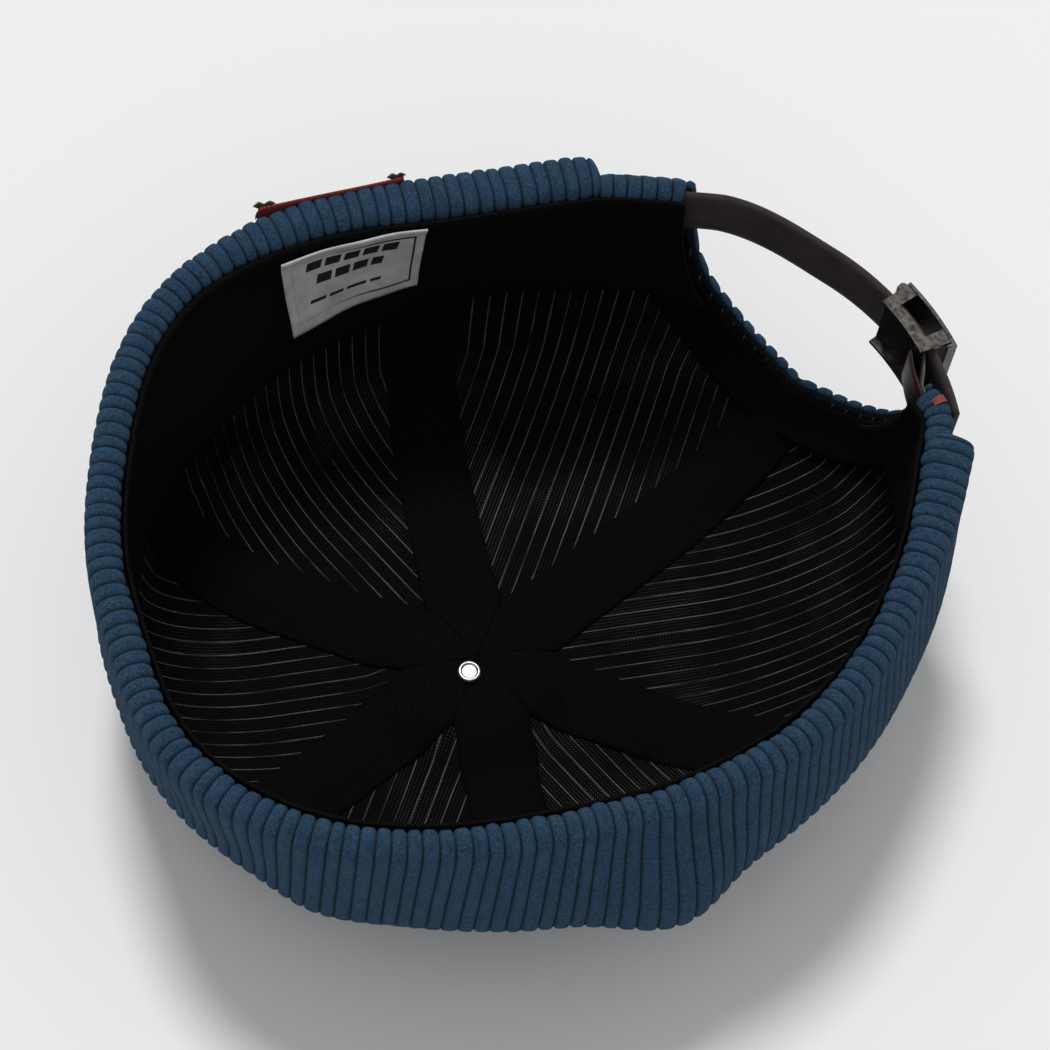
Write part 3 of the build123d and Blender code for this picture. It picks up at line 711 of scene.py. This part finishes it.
def ear_fold(start, end, middle):
    """The crown's top edge folded inward over what an ear holds, between two directions."""
    rib_count = int(round(np.radians(abs(end - start)) * RIM_LONG / WALE))
    count = rib_count * EAR_FOLD_SAMPLES + 1
    angles = np.linspace(start, end, count)[:, None]
    ribs = rib(np.arange(count) / EAR_FOLD_SAMPLES * WALE)
    top = EAR_FOLD_DROP + EAR_FOLD_HALF
    turns = np.linspace(180, 0, 15)
    legs = []
    for half in (EAR_FOLD_HALF, EAR_FOLD_HALF - EAR_FOLD_CLOTH):
        outer_leg = [(middle - half + 1.3, 7.0), (middle - half + 0.7, 6.0), (middle - half + 0.2, 5.0)]
        arc = [(middle + half * cosd(t), top - half * sind(t)) for t in turns]
        inner_leg = [(middle + half, drop) for drop in (5.2, 6.4, 7.6, 8.6)]
        legs.append(np.array(outer_leg + arc + inner_leg))
    face, hidden = legs
    outward = np.array([(-1, 0)] * 3 + [(cosd(t), -sind(t)) for t in turns] + [(1, 0)] * 4)
    sink = (1 - ribs)[:, None] * 0.8 * RIB_HEIGHT
    outer = wall(angles, face[:, 1] - sink * outward[:, 1], face[:, 0] - sink * outward[:, 0])
    inner = wall(angles, hidden[:, 1], hidden[:, 0])
    from_end = np.minimum(np.arange(count), np.arange(count)[::-1]) / EAR_FOLD_SAMPLES * WALE
    round_off = np.sqrt(1 - (1 - np.clip(from_end / 2.4, 0.02, 1)) ** 2)[:, None, None]
    outer = inner + (outer - inner) * round_off
    rings, faces = sandwich(outer, inner)
    shape = np.broadcast_to(ribs[:, None], outer.shape[:2])
    # The fold's hidden side gets pile height 0, so it is painted near-black as painted shade.
    return rings, faces, np.concatenate([shape, 0 * shape], axis=1)


for number, gore in enumerate(GORES):
    direction = 120.0 + 60.0 * number
    columns = np.arange(-102, 103) * WALE / 6
    columns, face = drape(direction, columns, CROWN_ROWS, None, 0.0, True)
    normals = grid_normals(face)
    edge_fade = ease(seam_distance(face), 0.0, 1.6)
    # Near the seams the pile is lowered, so the corduroy finish also paints the cloth darker there as
    # painted shade.
    ribs = rib(columns)[:, None] * (0.25 + 0.75 * edge_fade)
    outer = face - normals * ((1 - ribs) * RIB_HEIGHT)[..., None]
    inner = face - normals * CROWN_CLOTH
    roll = edge_roll(face, normals, ribs[:, 0], CROWN_CLOTH)
    rings, faces = sandwich(outer, inner, roll)
    roll_ribs = np.repeat(ribs[:, :1], ROLL_STEPS, axis=1)
    # The gore's back face gets pile height 0, so it is painted near-black as painted shade.
    all_ribs = np.concatenate([ribs, 0 * ribs, roll_ribs], axis=1).ravel()
    points = rings.reshape(-1, 3)
    if gore in EAR_FOLDS:
        fold_rings, fold_faces, fold_ribs = ear_fold(*EAR_FOLDS[gore])
        faces += [tuple(len(points) + k for k in face) for face in fold_faces]
        points = np.concatenate([points, fold_rings.reshape(-1, 3)])
        all_ribs = np.concatenate([all_ribs, fold_ribs.ravel()])
    cloth = piece(
        f"gore_{gore}", blue_corduroy, "cap", points, faces, ribs=all_ribs
    )
    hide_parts(f"crown_{gore}")

    columns, face = drape(direction, np.arange(-60, 61, 2.0), 60, 19.5, 1.0, True)
    normals = grid_normals(face)
    uv = flat_coordinates(columns, face, from_seam=True)
    rings, faces, uvs = plain_sheet(
        face - normals * LINING_CLOTH[1], face - normals * LINING_CLOTH[0], uv
    )
    cloth = piece(f"liner_{gore}", black_lining, "cap", rings, faces, uvs)
    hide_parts(f"lining_{gore}")

for number, seam in enumerate(SEAMS):
    columns = np.linspace(-9.0, 9.0, 19)
    columns, face = drape(90.0 + 60.0 * number, columns, 70, 19.5, 1.0, False)
    normals = grid_normals(face)
    rise = 0.35 * ease(np.abs(columns), 6.5, 8.8)[:, None] * np.ones(face.shape[1])
    uv = flat_coordinates(columns, face)
    rings, faces, uvs = plain_sheet(
        face - normals * (TAPE_CLOTH[1] - rise)[..., None],
        face - normals * (TAPE_CLOTH[0] - 0.5 * rise)[..., None],
        uv,
    )
    cloth = piece(f"tape_{seam}", black_tape, "cap", rings, faces, uvs)
    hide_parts(f"seam_tape_{seam}")

# ---- Arch facing and sweatband ------------------------------------------------------------------


def back_bearing(x, drop):
    """Direction of the back wall's point at a distance to one side of the rim's middle."""
    angle = 90.0 - np.degrees(x / RIM_LONG)
    for _ in range(8):
        angle = np.degrees(np.arccos(np.clip(x / radius_at(angle, drop), -1, 1)))
    return angle


turns = np.linspace(23.5, 156.5, 91)[:, None]
widths = np.linspace(1.0, 14.0, 9)[None, :]
facing_x = ARCH_CENTER_X + (ARCH_HALF_WIDTH + widths) * cosd(turns)
facing_drop = np.maximum((ARCH_DEPTH + widths) * sind(turns), 19.5)
facing_angle = back_bearing(facing_x, facing_drop)
facing_uv = np.stack([turns + 0 * widths, widths + 0 * turns], axis=-1)
rings, faces, uvs = plain_sheet(
    wall(facing_angle, facing_drop, FACING_CLOTH[1]),
    wall(facing_angle, facing_drop, FACING_CLOTH[0]),
    facing_uv,
)
cloth = piece("arch_strip", black_tape, "cap", rings, faces, uvs)
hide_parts("arch_facing")

band_drops = np.concatenate([np.linspace(3.2, 36.5, 12), [37.2, 37.8]])
reach = (ARCH_HALF_WIDTH + 1) * np.sqrt(1 - (band_drops / (ARCH_DEPTH + 1)) ** 2)
band_start = back_bearing(ARCH_CENTER_X - reach, band_drops)
band_end = 360 + back_bearing(ARCH_CENTER_X + reach, band_drops)
band_share = np.linspace(0, 1, 361)[:, None]
band_angles = band_start + band_share * (band_end - band_start)
band_wave = 0.25 * sind(band_angles * 11 + 30) * ease(band_drops, 12, 38)
band_uv = np.stack([band_angles * 1.6, band_drops + 0 * band_angles], axis=-1)
rings, faces, uvs = plain_sheet(
    wall(band_angles, band_drops, SWEATBAND_CLOTH[1] + band_wave),
    wall(band_angles, band_drops, SWEATBAND_CLOTH[0] + band_wave),
    band_uv,
)
cloth = piece("head_band", band_cloth, "cap", rings, faces, uvs)
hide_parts("sweatband")

# ---- Turned-up cuff -----------------------------------------------------------------------------

FOLD_RADIUS = 4.15
FOLD_DEPTH = 1.75  # middle of the fold, from the crown's outer face
CUFF_SAMPLES = 10  # columns to a rib
CUFF_END_SWELL = 3.6  # the cuff is plumper towards both ends
CUFF_END_ROUND = 3.8


def cuff_profile():
    """The cuff's face and its hidden side, as (depth, drop) from the inner leg to the hem."""
    inner_leg = [(5.75, drop) for drop in np.linspace(10, 4.6, 5)]
    turns = np.linspace(0, 180, 15)
    fold = [(FOLD_DEPTH + FOLD_RADIUS * cosd(t), FOLD_RADIUS * (1 - sind(t))) for t in turns]
    outer_leg = [(-2.4 - 0.1 * sind(5 * drop), drop) for drop in np.linspace(6, 37.5, 13)]
    hem = [(-1.45 - 1.0 * cosd(t), 38.6 + 1.1 * sind(t)) for t in np.linspace(10, 170, 7)]
    face = np.array(inner_leg + fold + outer_leg + hem)
    under = [(-0.42, drop) for drop in np.linspace(36, 5, 16)]
    crook = [(1.1 - 1.52 * cosd(t), 4.6 - 1.5 * sind(t)) for t in np.linspace(15, 165, 8)]
    hidden_leg = [(2.62, drop) for drop in np.linspace(5, 10, 5)]
    route = np.array(under + crook + hidden_leg)
    steps = np.concatenate([[0], np.cumsum(np.linalg.norm(np.diff(route, axis=0), axis=1))])
    wanted = np.linspace(0, steps[-1], len(face))
    hidden = np.stack([np.interp(wanted, steps, route[:, k]) for k in range(2)], axis=-1)
    return face, hidden


def cuff_columns():
    """Directions of the cuff's columns, evenly spaced along its fold, in whole ribs."""
    fine = np.linspace(EAR_ANGLES[1], 360 + EAR_ANGLES[0], 4000)
    line = wall_face(fine, 1.0)
    steps = np.concatenate([[0], np.cumsum(np.linalg.norm(np.diff(line, axis=0), axis=1))])
    ribs = int(round(steps[-1] / WALE))
    marks = np.arange(ribs * CUFF_SAMPLES + 1) / CUFF_SAMPLES
    shifts = draw.normal(0, 0.06, ribs + 1)
    marks = marks + np.interp(marks, np.arange(ribs + 1), shifts)
    marks[0] = 0
    marks[-1] = ribs
    return np.interp(marks * steps[-1] / ribs, steps, fine), ribs, steps[-1]


face_route, hidden_route = cuff_profile()
cuff_angles, cuff_ribs, cuff_length = cuff_columns()
count = len(cuff_angles)
rib_phase = np.arange(count) / CUFF_SAMPLES
rib_shape = rib(rib_phase * WALE)
rib_middle = np.arange(cuff_ribs) + 0.5
lift = np.interp(rib_phase, rib_middle, draw.normal(0, 0.22, cuff_ribs))
push = np.interp(rib_phase, rib_middle, draw.normal(0, 0.18, cuff_ribs))
hem_lift = np.interp(rib_phase, rib_middle, draw.normal(0, 0.12, cuff_ribs))

tangent = np.gradient(face_route, axis=0)
tangent /= np.linalg.norm(tangent, axis=1, keepdims=True)
outward = np.stack([tangent[:, 1], -tangent[:, 0]], axis=-1)
if outward[12, 1] > 0:
    outward = -outward
turned_ear = np.mod(cuff_angles, 360)
plump = ease(np.where(turned_ear < 90, turned_ear, 0), 30, 60)
plump = plump + (turned_ear > 90) * (1 - ease(turned_ear, 158, 200))
fat = CUFF_END_SWELL * plump
near_fold = 1 - ease(face_route[:, 1], 3, 12)
sink = (1 - rib_shape)[:, None] * RIB_HEIGHT * (0.75 + 0.25 * near_fold[None, :])
depths = face_route[None, :, 0] - sink * outward[None, :, 0]
drops = face_route[None, :, 1] - sink * outward[None, :, 1]
outer_part = ease(-face_route[:, 0], -FOLD_DEPTH - 2, 2.4)
depths = depths - fat[:, None] * outer_part[None, :] - push[:, None] * (1 - outer_part)[None, :]
drops = drops - lift[:, None] * near_fold[None, :]
at_hem = ease(face_route[:, 1], 30, 38)
drops = drops + at_hem[None, :] * (0.5 * sind(cuff_angles * 4) + hem_lift)[:, None]
cuff_outer = wall(cuff_angles[:, None], drops, depths)
hidden_depths = hidden_route[None, :, 0] + 0 * drops
hidden_drops = hidden_route[None, :, 1] + 0 * drops
cuff_inner = wall(cuff_angles[:, None], hidden_drops, hidden_depths)
from_end = np.minimum(np.arange(count), np.arange(count)[::-1]) / CUFF_SAMPLES * WALE
end_round = np.sqrt(1 - (1 - np.clip(from_end / CUFF_END_ROUND, 0.02, 1)) ** 2)[:, None, None]
cuff_outer = cuff_inner[:, ::-1] + (cuff_outer - cuff_inner[:, ::-1]) * end_round
rings, faces = sandwich(cuff_outer, cuff_inner[:, ::-1])
# The cuff's hidden side gets pile height 0, so it is painted near-black as painted shade.
cuff_rib = np.broadcast_to(rib_shape[:, None], cuff_outer.shape[:2])
cloth = piece(
    "turned_cuff", blue_corduroy, "cap", rings, faces,
    ribs=np.concatenate([cuff_rib, 0 * cuff_rib], axis=1),
)
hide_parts("cuff")

# ---- Strap, tab and clasp -----------------------------------------------------------------------

STRAP_RADIUS = 64.3
STRAP_THICKNESS = 1.6
STRAP_WIDTH = 15.0
STRAP_ANGLES = (57.4, 130.0)
STRAP_SEWN_RADIUS = 120.0
STRAP_SEWN_ANGLE = 136.6
STRAP_EAR_DIP = 0.9  # the strap sinks under the ear's folded edge
strap_center = joint_places["clasp_slide"]


def ribbon(line, sides, width, thickness, corner):
    """An upright strap along a level line: rings of a rounded bar."""
    columns = 9
    halves = np.linspace(-1, 1, columns)
    into_corner = np.clip((np.abs(halves) * width / 2 - (width / 2 - corner)) / corner, 0, 1)
    edge = np.sqrt(np.clip(1 - into_corner**2, 0, 1))
    half_thick = thickness / 2 * np.maximum(edge, 0.25)
    rings = []
    for point, side in zip(line, sides):
        middle = point + np.outer(halves * width / 2, (0, 0, 1))
        off = np.outer(half_thick, (side[0], side[1], 0))
        rings.append(np.concatenate([middle + off, (middle - off)[::-1]]))
    rings = np.array(rings)
    size = 2 * columns
    faces = ring_faces(len(rings), size)
    faces += end_faces(0, columns)
    faces += end_faces((len(rings) - 1) * size, columns, turned=True)
    return rings, faces


def side_normals(line):
    """Level normals on the left of a line."""
    along = np.gradient(line, axis=0)
    along /= np.linalg.norm(along, axis=1, keepdims=True)
    return np.stack([-along[:, 1], along[:, 0]], axis=-1)


tail, join = STRAP_ANGLES
bow = np.linspace(tail, join, 90)
sewn_center = strap_center[:2] - (STRAP_SEWN_RADIUS - STRAP_RADIUS) * np.array((cosd(join), sind(join)))
sewn = np.linspace(join, STRAP_SEWN_ANGLE, 24)[1:]
bow_line = strap_center[:2] + STRAP_RADIUS * np.stack([cosd(bow), sind(bow)], axis=-1)
sewn_line = sewn_center + STRAP_SEWN_RADIUS * np.stack([cosd(sewn), sind(sewn)], axis=-1)
strap_line = np.concatenate([bow_line, sewn_line])
along_strap = np.concatenate([bow, sewn])
strap_height = strap_center[2] - STRAP_EAR_DIP * ease(along_strap, 129, 134)
strap_side = np.stack([cosd(along_strap), sind(along_strap)], axis=-1)
strap_line = strap_line + EAR_FLARES[0][2] * ease(along_strap, 104, 131)[:, None] * strap_side
strap_line = np.column_stack([strap_line, strap_height])
rings, faces = ribbon(strap_line, side_normals(strap_line), STRAP_WIDTH, STRAP_THICKNESS, 0.7)
strap = piece("leather_strap", strap_leather, "cap", rings, faces)
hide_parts("strap")

CLASP_ANGLE = 81.5
CLASP_LENGTH = 17.0
TAB_PLY = 0.85
TAB_CLEARANCE = 0.12
BAR_RADIUS = 1.0
TAB_HEIGHT = 12.4
TAB_BEND = np.array((36.9, 94.3))
TAB_END = np.array((47.4, 89.1))
bar_angle = CLASP_ANGLE - np.degrees(CLASP_LENGTH / 2 / STRAP_RADIUS)
bar_orbit = STRAP_RADIUS - STRAP_THICKNESS / 2 - 0.4 - TAB_PLY - TAB_CLEARANCE - BAR_RADIUS
bar = strap_center[:2] + bar_orbit * np.array((cosd(bar_angle), sind(bar_angle)))


def tab_route():
    """Middle of the tab's leather: out along one ply, round the bar and back along the other."""
    bend = CENTER + TAB_BEND
    end = CENTER + TAB_END
    to_bar = (bar - bend) / np.linalg.norm(bar - bend)
    side = np.array((-to_bar[1], to_bar[0]))
    sewn_way = (bend - end) / np.linalg.norm(bend - end)
    sewn_side = np.array((-sewn_way[1], sewn_way[0]))
    half = TAB_PLY / 2 + 0.02
    loop = BAR_RADIUS + TAB_CLEARANCE + TAB_PLY / 2
    route = []
    for share in np.linspace(0, 1, 6):
        route.append(end + share * (bend - end) + half * sewn_side)
    start = bend + half * side
    finish = bar + loop * side
    for share in np.linspace(0, 1, 12)[1:]:
        route.append(start + share * (finish - start) + 0.25 * np.sin(np.pi * share) * side)
    for turn in np.linspace(0, 180, 13)[1:]:
        route.append(bar + loop * (cosd(turn) * side + sind(turn) * to_bar))
    start = bar - loop * side
    finish = bend - half * side
    for share in np.linspace(0, 1, 12)[1:]:
        route.append(start + share * (finish - start) - 0.25 * np.sin(np.pi * share) * side)
    for share in np.linspace(0, 1, 6)[1:]:
        route.append(bend + share * (end - bend) - half * sewn_side)
    return np.array(route)


tab_line = tab_route()
tab_line = np.column_stack([tab_line, np.full(len(tab_line), strap_center[2])])
rings, faces = ribbon(tab_line, side_normals(tab_line), TAB_HEIGHT, TAB_PLY, 0.35)
flesh = np.zeros(rings.shape[:2])
flesh[len(tab_line) // 2 :] = 1.0
tab = piece("leather_tab", tab_leather, "clasp", rings, faces)
attribute = tab.data.attributes.new("flesh", "FLOAT", "POINT")
attribute.data.foreach_set("value", flesh.astype(np.float32).ravel())
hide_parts("tab")

# ---- Button cover -------------------------------------------------------------------------------

BUTTON_RADIUS = 8.0
BUTTON_HEIGHT = 4.2
BUTTON_BULGE = 2.4
BUTTON_CLOTH = 0.8
button_center = CENTER + BUTTON_PLACE
spokes = np.linspace(0, 2 * np.pi, 97)[:-1]
shares = np.concatenate([np.linspace(0.02, 0.9, 14), [0.95, 0.985, 1.0]])
dome_reach = BUTTON_RADIUS * shares
dome_height = BUTTON_BULGE * shares**2
side_reach = np.array((8.0, 7.95, 7.7))
side_height = np.array((3.0, 3.7, 4.15))
reach = np.concatenate([dome_reach, side_reach])
height = np.concatenate([dome_height, side_height])
x = reach[None, :] * np.cos(spokes)[:, None]
y = reach[None, :] * np.sin(spokes)[:, None]
button_rib = rib(x * 1.2 + 0.5 * WALE)
drop_in = (1 - button_rib) * 0.55
scale = 1 - 0.03 * (1 - button_rib)
outside = np.stack([
    button_center[0] + x * scale,
    button_center[1] + y * scale,
    height[None, :] + drop_in * (1 - ease(reach, 6.5, 8.2))[None, :],
], axis=-1)
inside_reach = np.maximum(reach - BUTTON_CLOTH, 0.02)
inside = np.stack([
    button_center[0] + inside_reach[None, :] * np.cos(spokes)[:, None],
    button_center[1] + inside_reach[None, :] * np.sin(spokes)[:, None],
    np.minimum(height + BUTTON_CLOTH, BUTTON_HEIGHT)[None, :] + 0 * x,
], axis=-1)
rings = np.concatenate([outside, inside[:, ::-1]], axis=1)
faces = ring_faces(len(spokes), rings.shape[1], closed=True)
# The cloth's inside gets pile height 0, so it is painted near-black as painted shade.
button_ribs = np.concatenate([button_rib, 0 * button_rib], axis=1)
cloth = piece(
    "button_cloth", blue_corduroy, "cap", rings, faces, ribs=button_ribs
)
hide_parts("button_cover")

# ---- Label, patch and stitches ------------------------------------------------------------------

LABEL_ANGLE = 166.0
LABEL_DROP = 16.0
LABEL_TILT = -5.0
LABEL_SKEW = 4.5  # how far its loose lower edge hangs to one side
PATCH_SIZE = (33.0, 26.0)
PATCH_ANGLE = 167.5
PATCH_DROP = 13.6


def on_wall(across, up, angle, drop, tilt=0.0):
    """Direction and depth of a point beside a spot on the wall, turned about that spot."""
    sideways = across * cosd(tilt) - up * sind(tilt)
    rising = across * sind(tilt) + up * cosd(tilt)
    around = angle + np.degrees(sideways / radius_at(angle, drop))
    return around, drop - rising


across = np.linspace(-LABEL_SIZE[0] / 2, LABEL_SIZE[0] / 2, 45)[:, None]
up = np.linspace(-LABEL_SIZE[1] / 2, LABEL_SIZE[1] / 2, 27)[None, :]
skewed = across + LABEL_SKEW * (0.5 - up / LABEL_SIZE[1])
label_angle, label_drop = on_wall(skewed, up, LABEL_ANGLE, LABEL_DROP, LABEL_TILT)
lip = 0.5 * ease(up, LABEL_SIZE[1] / 2 - 2.2, LABEL_SIZE[1] / 2 - 1.2)
sag = 0.3 * np.sin(0.35 * across + 0.2 * up) + 0.25 * np.sin(0.21 * across - 0.5 * up)
label_depth = LABEL_DEPTH + lip + 0.25 + 0.5 * sag
label_uv = np.stack([-across + 0 * up, up + 0 * across], axis=-1)
rings, faces, uvs = plain_sheet(
    wall(label_angle, label_drop, label_depth),
    wall(label_angle, label_drop, label_depth - 0.45),
    label_uv,
)
label = piece("maker_label", label_finish, "cap", rings, faces, uvs)
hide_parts("woven_label")



def patch_curl(across, up):
    """How far the patch's loose upper edge stands off the cuff."""
    return 2.0 * ease(up, 4, 13) * (0.3 + 0.7 * (across / (PATCH_SIZE[0] / 2)) ** 2)


across = np.linspace(-PATCH_SIZE[0] / 2, PATCH_SIZE[0] / 2, 34)[:, None]
up = np.linspace(-PATCH_SIZE[1] / 2, PATCH_SIZE[1] / 2, 25)[None, :]
patch_angle, patch_drop = on_wall(across, up, PATCH_ANGLE, PATCH_DROP)
patch_depth = PATCH_DEPTH - patch_curl(across, up)
patch_uv = np.stack([across + 0 * up, up + 0 * across], axis=-1)
rings, faces, uvs = plain_sheet(
    wall(patch_angle, patch_drop, patch_depth),
    wall(patch_angle, patch_drop, patch_depth + PATCH_THICKNESS),
    patch_uv,
)
patch = piece("sewn_patch", patch_cloth, "cap", rings, faces, uvs)
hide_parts("cuff_patch")


def tube(line, radius, sides=8):
    """A round thread along a line, with closed, tapered ends."""
    line = np.asarray(line, float)
    along = np.gradient(line, axis=0)
    along /= np.linalg.norm(along, axis=1, keepdims=True)
    helper = np.array((0.3, 0.2, 0.93))
    first = np.cross(along, helper)
    first /= np.linalg.norm(first, axis=1, keepdims=True)
    second = np.cross(along, first)
    turns = 2 * np.pi * np.arange(sides) / sides
    from_end = np.minimum(np.arange(len(line)), np.arange(len(line))[::-1])
    thick = radius * np.minimum(1, from_end * 0.45 + 0.35)
    rings = (
        line[:, None]
        + thick[:, None, None] * np.cos(turns)[None, :, None] * first[:, None]
        + thick[:, None, None] * np.sin(turns)[None, :, None] * second[:, None]
    )
    faces = ring_faces(len(line), sides)
    faces.append(tuple(range(sides))[::-1])
    faces.append(tuple((len(line) - 1) * sides + k for k in range(sides)))
    return rings.reshape(-1, 3), faces


def stitches(lines, radius):
    """Several threads as one mesh's points and faces."""
    points = []
    faces = []
    for line in lines:
        ring, face = tube(line, radius)
        start = sum(len(p) for p in points)
        points.append(ring)
        faces += [tuple(start + k for k in f) for f in face]
    return np.concatenate(points), faces


cross_lines = []
for side in (-1, 1):
    for level in (-1, 1):
        for slant in (-1, 1):
            for strand in (-0.35, 0.0, 0.35):
                share = np.linspace(-1, 1, 13)
                out = side * (PATCH_SIZE[0] / 2 - 1.6) + 1.9 * share + strand
                rise = level * (PATCH_SIZE[1] / 2 - 1.7) + slant * 1.9 * share - slant * strand
                angle, drop = on_wall(out, rise, PATCH_ANGLE, PATCH_DROP)
                arch = 0.75 * np.sqrt(np.clip(1 - share**2, 0, 1))
                depth = PATCH_DEPTH - patch_curl(out, rise) - 0.55 - arch - 0.2 * slant
                cross_lines.append(wall(angle, drop, depth))
points, faces = stitches(cross_lines, 0.34)
crosses = piece("patch_crosses", black_thread, "cap", points, faces)
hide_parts("patch_stitches")

BARTACK_ANGLE = 65.5
tack_lines = []
for strand in np.linspace(-0.9, 0.9, 7):
    share = np.linspace(-1, 1, 9)
    angle = BARTACK_ANGLE + np.degrees(strand / radius_at(BARTACK_ANGLE, 2.0)) + 0.12 * share
    turn = 112 + 34 * share
    reach = EAR_FOLD_HALF + 0.1 + 0.35 * np.sqrt(np.clip(1 - share**2, 0, 1))
    depth = EAR_FOLDS["back_right"][2] + reach * cosd(turn)
    drop = EAR_FOLD_DROP + EAR_FOLD_HALF - reach * sind(turn)
    tack_lines.append(wall(angle, drop, depth))
points, faces = stitches(tack_lines, 0.16)
tack = piece("ear_tack", red_thread, "cap", points, faces)
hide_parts("ear_bartack")

# ---- Each gore's cloth, looked up by name ----------------------------------------------------

for gore in GORES:
    cloth = bpy.data.objects[f"gore_{gore}"]

# ---- Floor, light and camera --------------------------------------------------------------------


def floor():
    """A plain pale floor."""
    mesh = bpy.data.meshes.new("floor")
    corners = [(-4, -4, 0), (4, -4, 0), (4, 4, 0), (-4, 4, 0)]
    mesh.from_pydata(corners, [], [(0, 1, 2, 3)])
    thing = bpy.data.objects.new("floor", mesh)
    bpy.context.scene.collection.objects.link(thing)
    finish = Finish("floor_paper", (0.83, 0.83, 0.83), 0.9, specular=0.1)
    paper = finish.noise(90, detail=4)
    finish.bump(paper, 0.02, 0.1)
    mesh.materials.append(finish.material)


def sun(name, azimuth, elevation, strength, softness):
    """A far light from one direction, with soft-edged shadows."""
    light = bpy.data.lights.new(name, "SUN")
    light.energy = strength
    light.angle = np.radians(softness)
    thing = bpy.data.objects.new(name, light)
    way = Vector((
        cosd(azimuth) * cosd(elevation), sind(azimuth) * cosd(elevation), sind(elevation)
    ))
    thing.rotation_euler = way.to_track_quat("Z", "Y").to_euler()
    bpy.context.scene.collection.objects.link(thing)


floor()
sun("key", 160, 68, 1.85, 13)
sun("front_fill", 300, 50, 0.2, 60)
world = bpy.data.worlds.new("studio")
world.use_nodes = True
world.node_tree.nodes["Background"].inputs["Color"].default_value = (1, 1, 1, 1)
world.node_tree.nodes["Background"].inputs["Strength"].default_value = 0.46
bpy.context.scene.world = world
bpy.context.scene.view_settings.view_transform = "Standard"

VIEW_DIRECTION = Vector((0.30346, -0.38781, 0.87036))  # from the cap to the camera
VIEW_UP = Vector((-0.6826, 0.5488, 0.4825))
VIEW_DISTANCE = 904.0
VIEW_FIELD = 14.96
VIEW_AIM = (7.436, -4.564)  # from the middle of the rim
aim = Vector((CENTER[0] + VIEW_AIM[0], CENTER[1] + VIEW_AIM[1], RIM_HEIGHT))
camera_data = bpy.data.cameras.new("camera")
camera_data.angle = np.radians(VIEW_FIELD)
camera_data.clip_start = 0.05
camera = bpy.data.objects.new("camera", camera_data)
bpy.context.scene.collection.objects.link(camera)
view_right = VIEW_UP.cross(VIEW_DIRECTION).normalized()
view_up = VIEW_DIRECTION.cross(view_right).normalized()
turn = Matrix((view_right, view_up, VIEW_DIRECTION.normalized())).transposed()
camera.matrix_world = Matrix.Translation((aim + VIEW_DISTANCE * VIEW_DIRECTION) * MM) @ turn.to_4x4()
bpy.context.scene.camera = camera
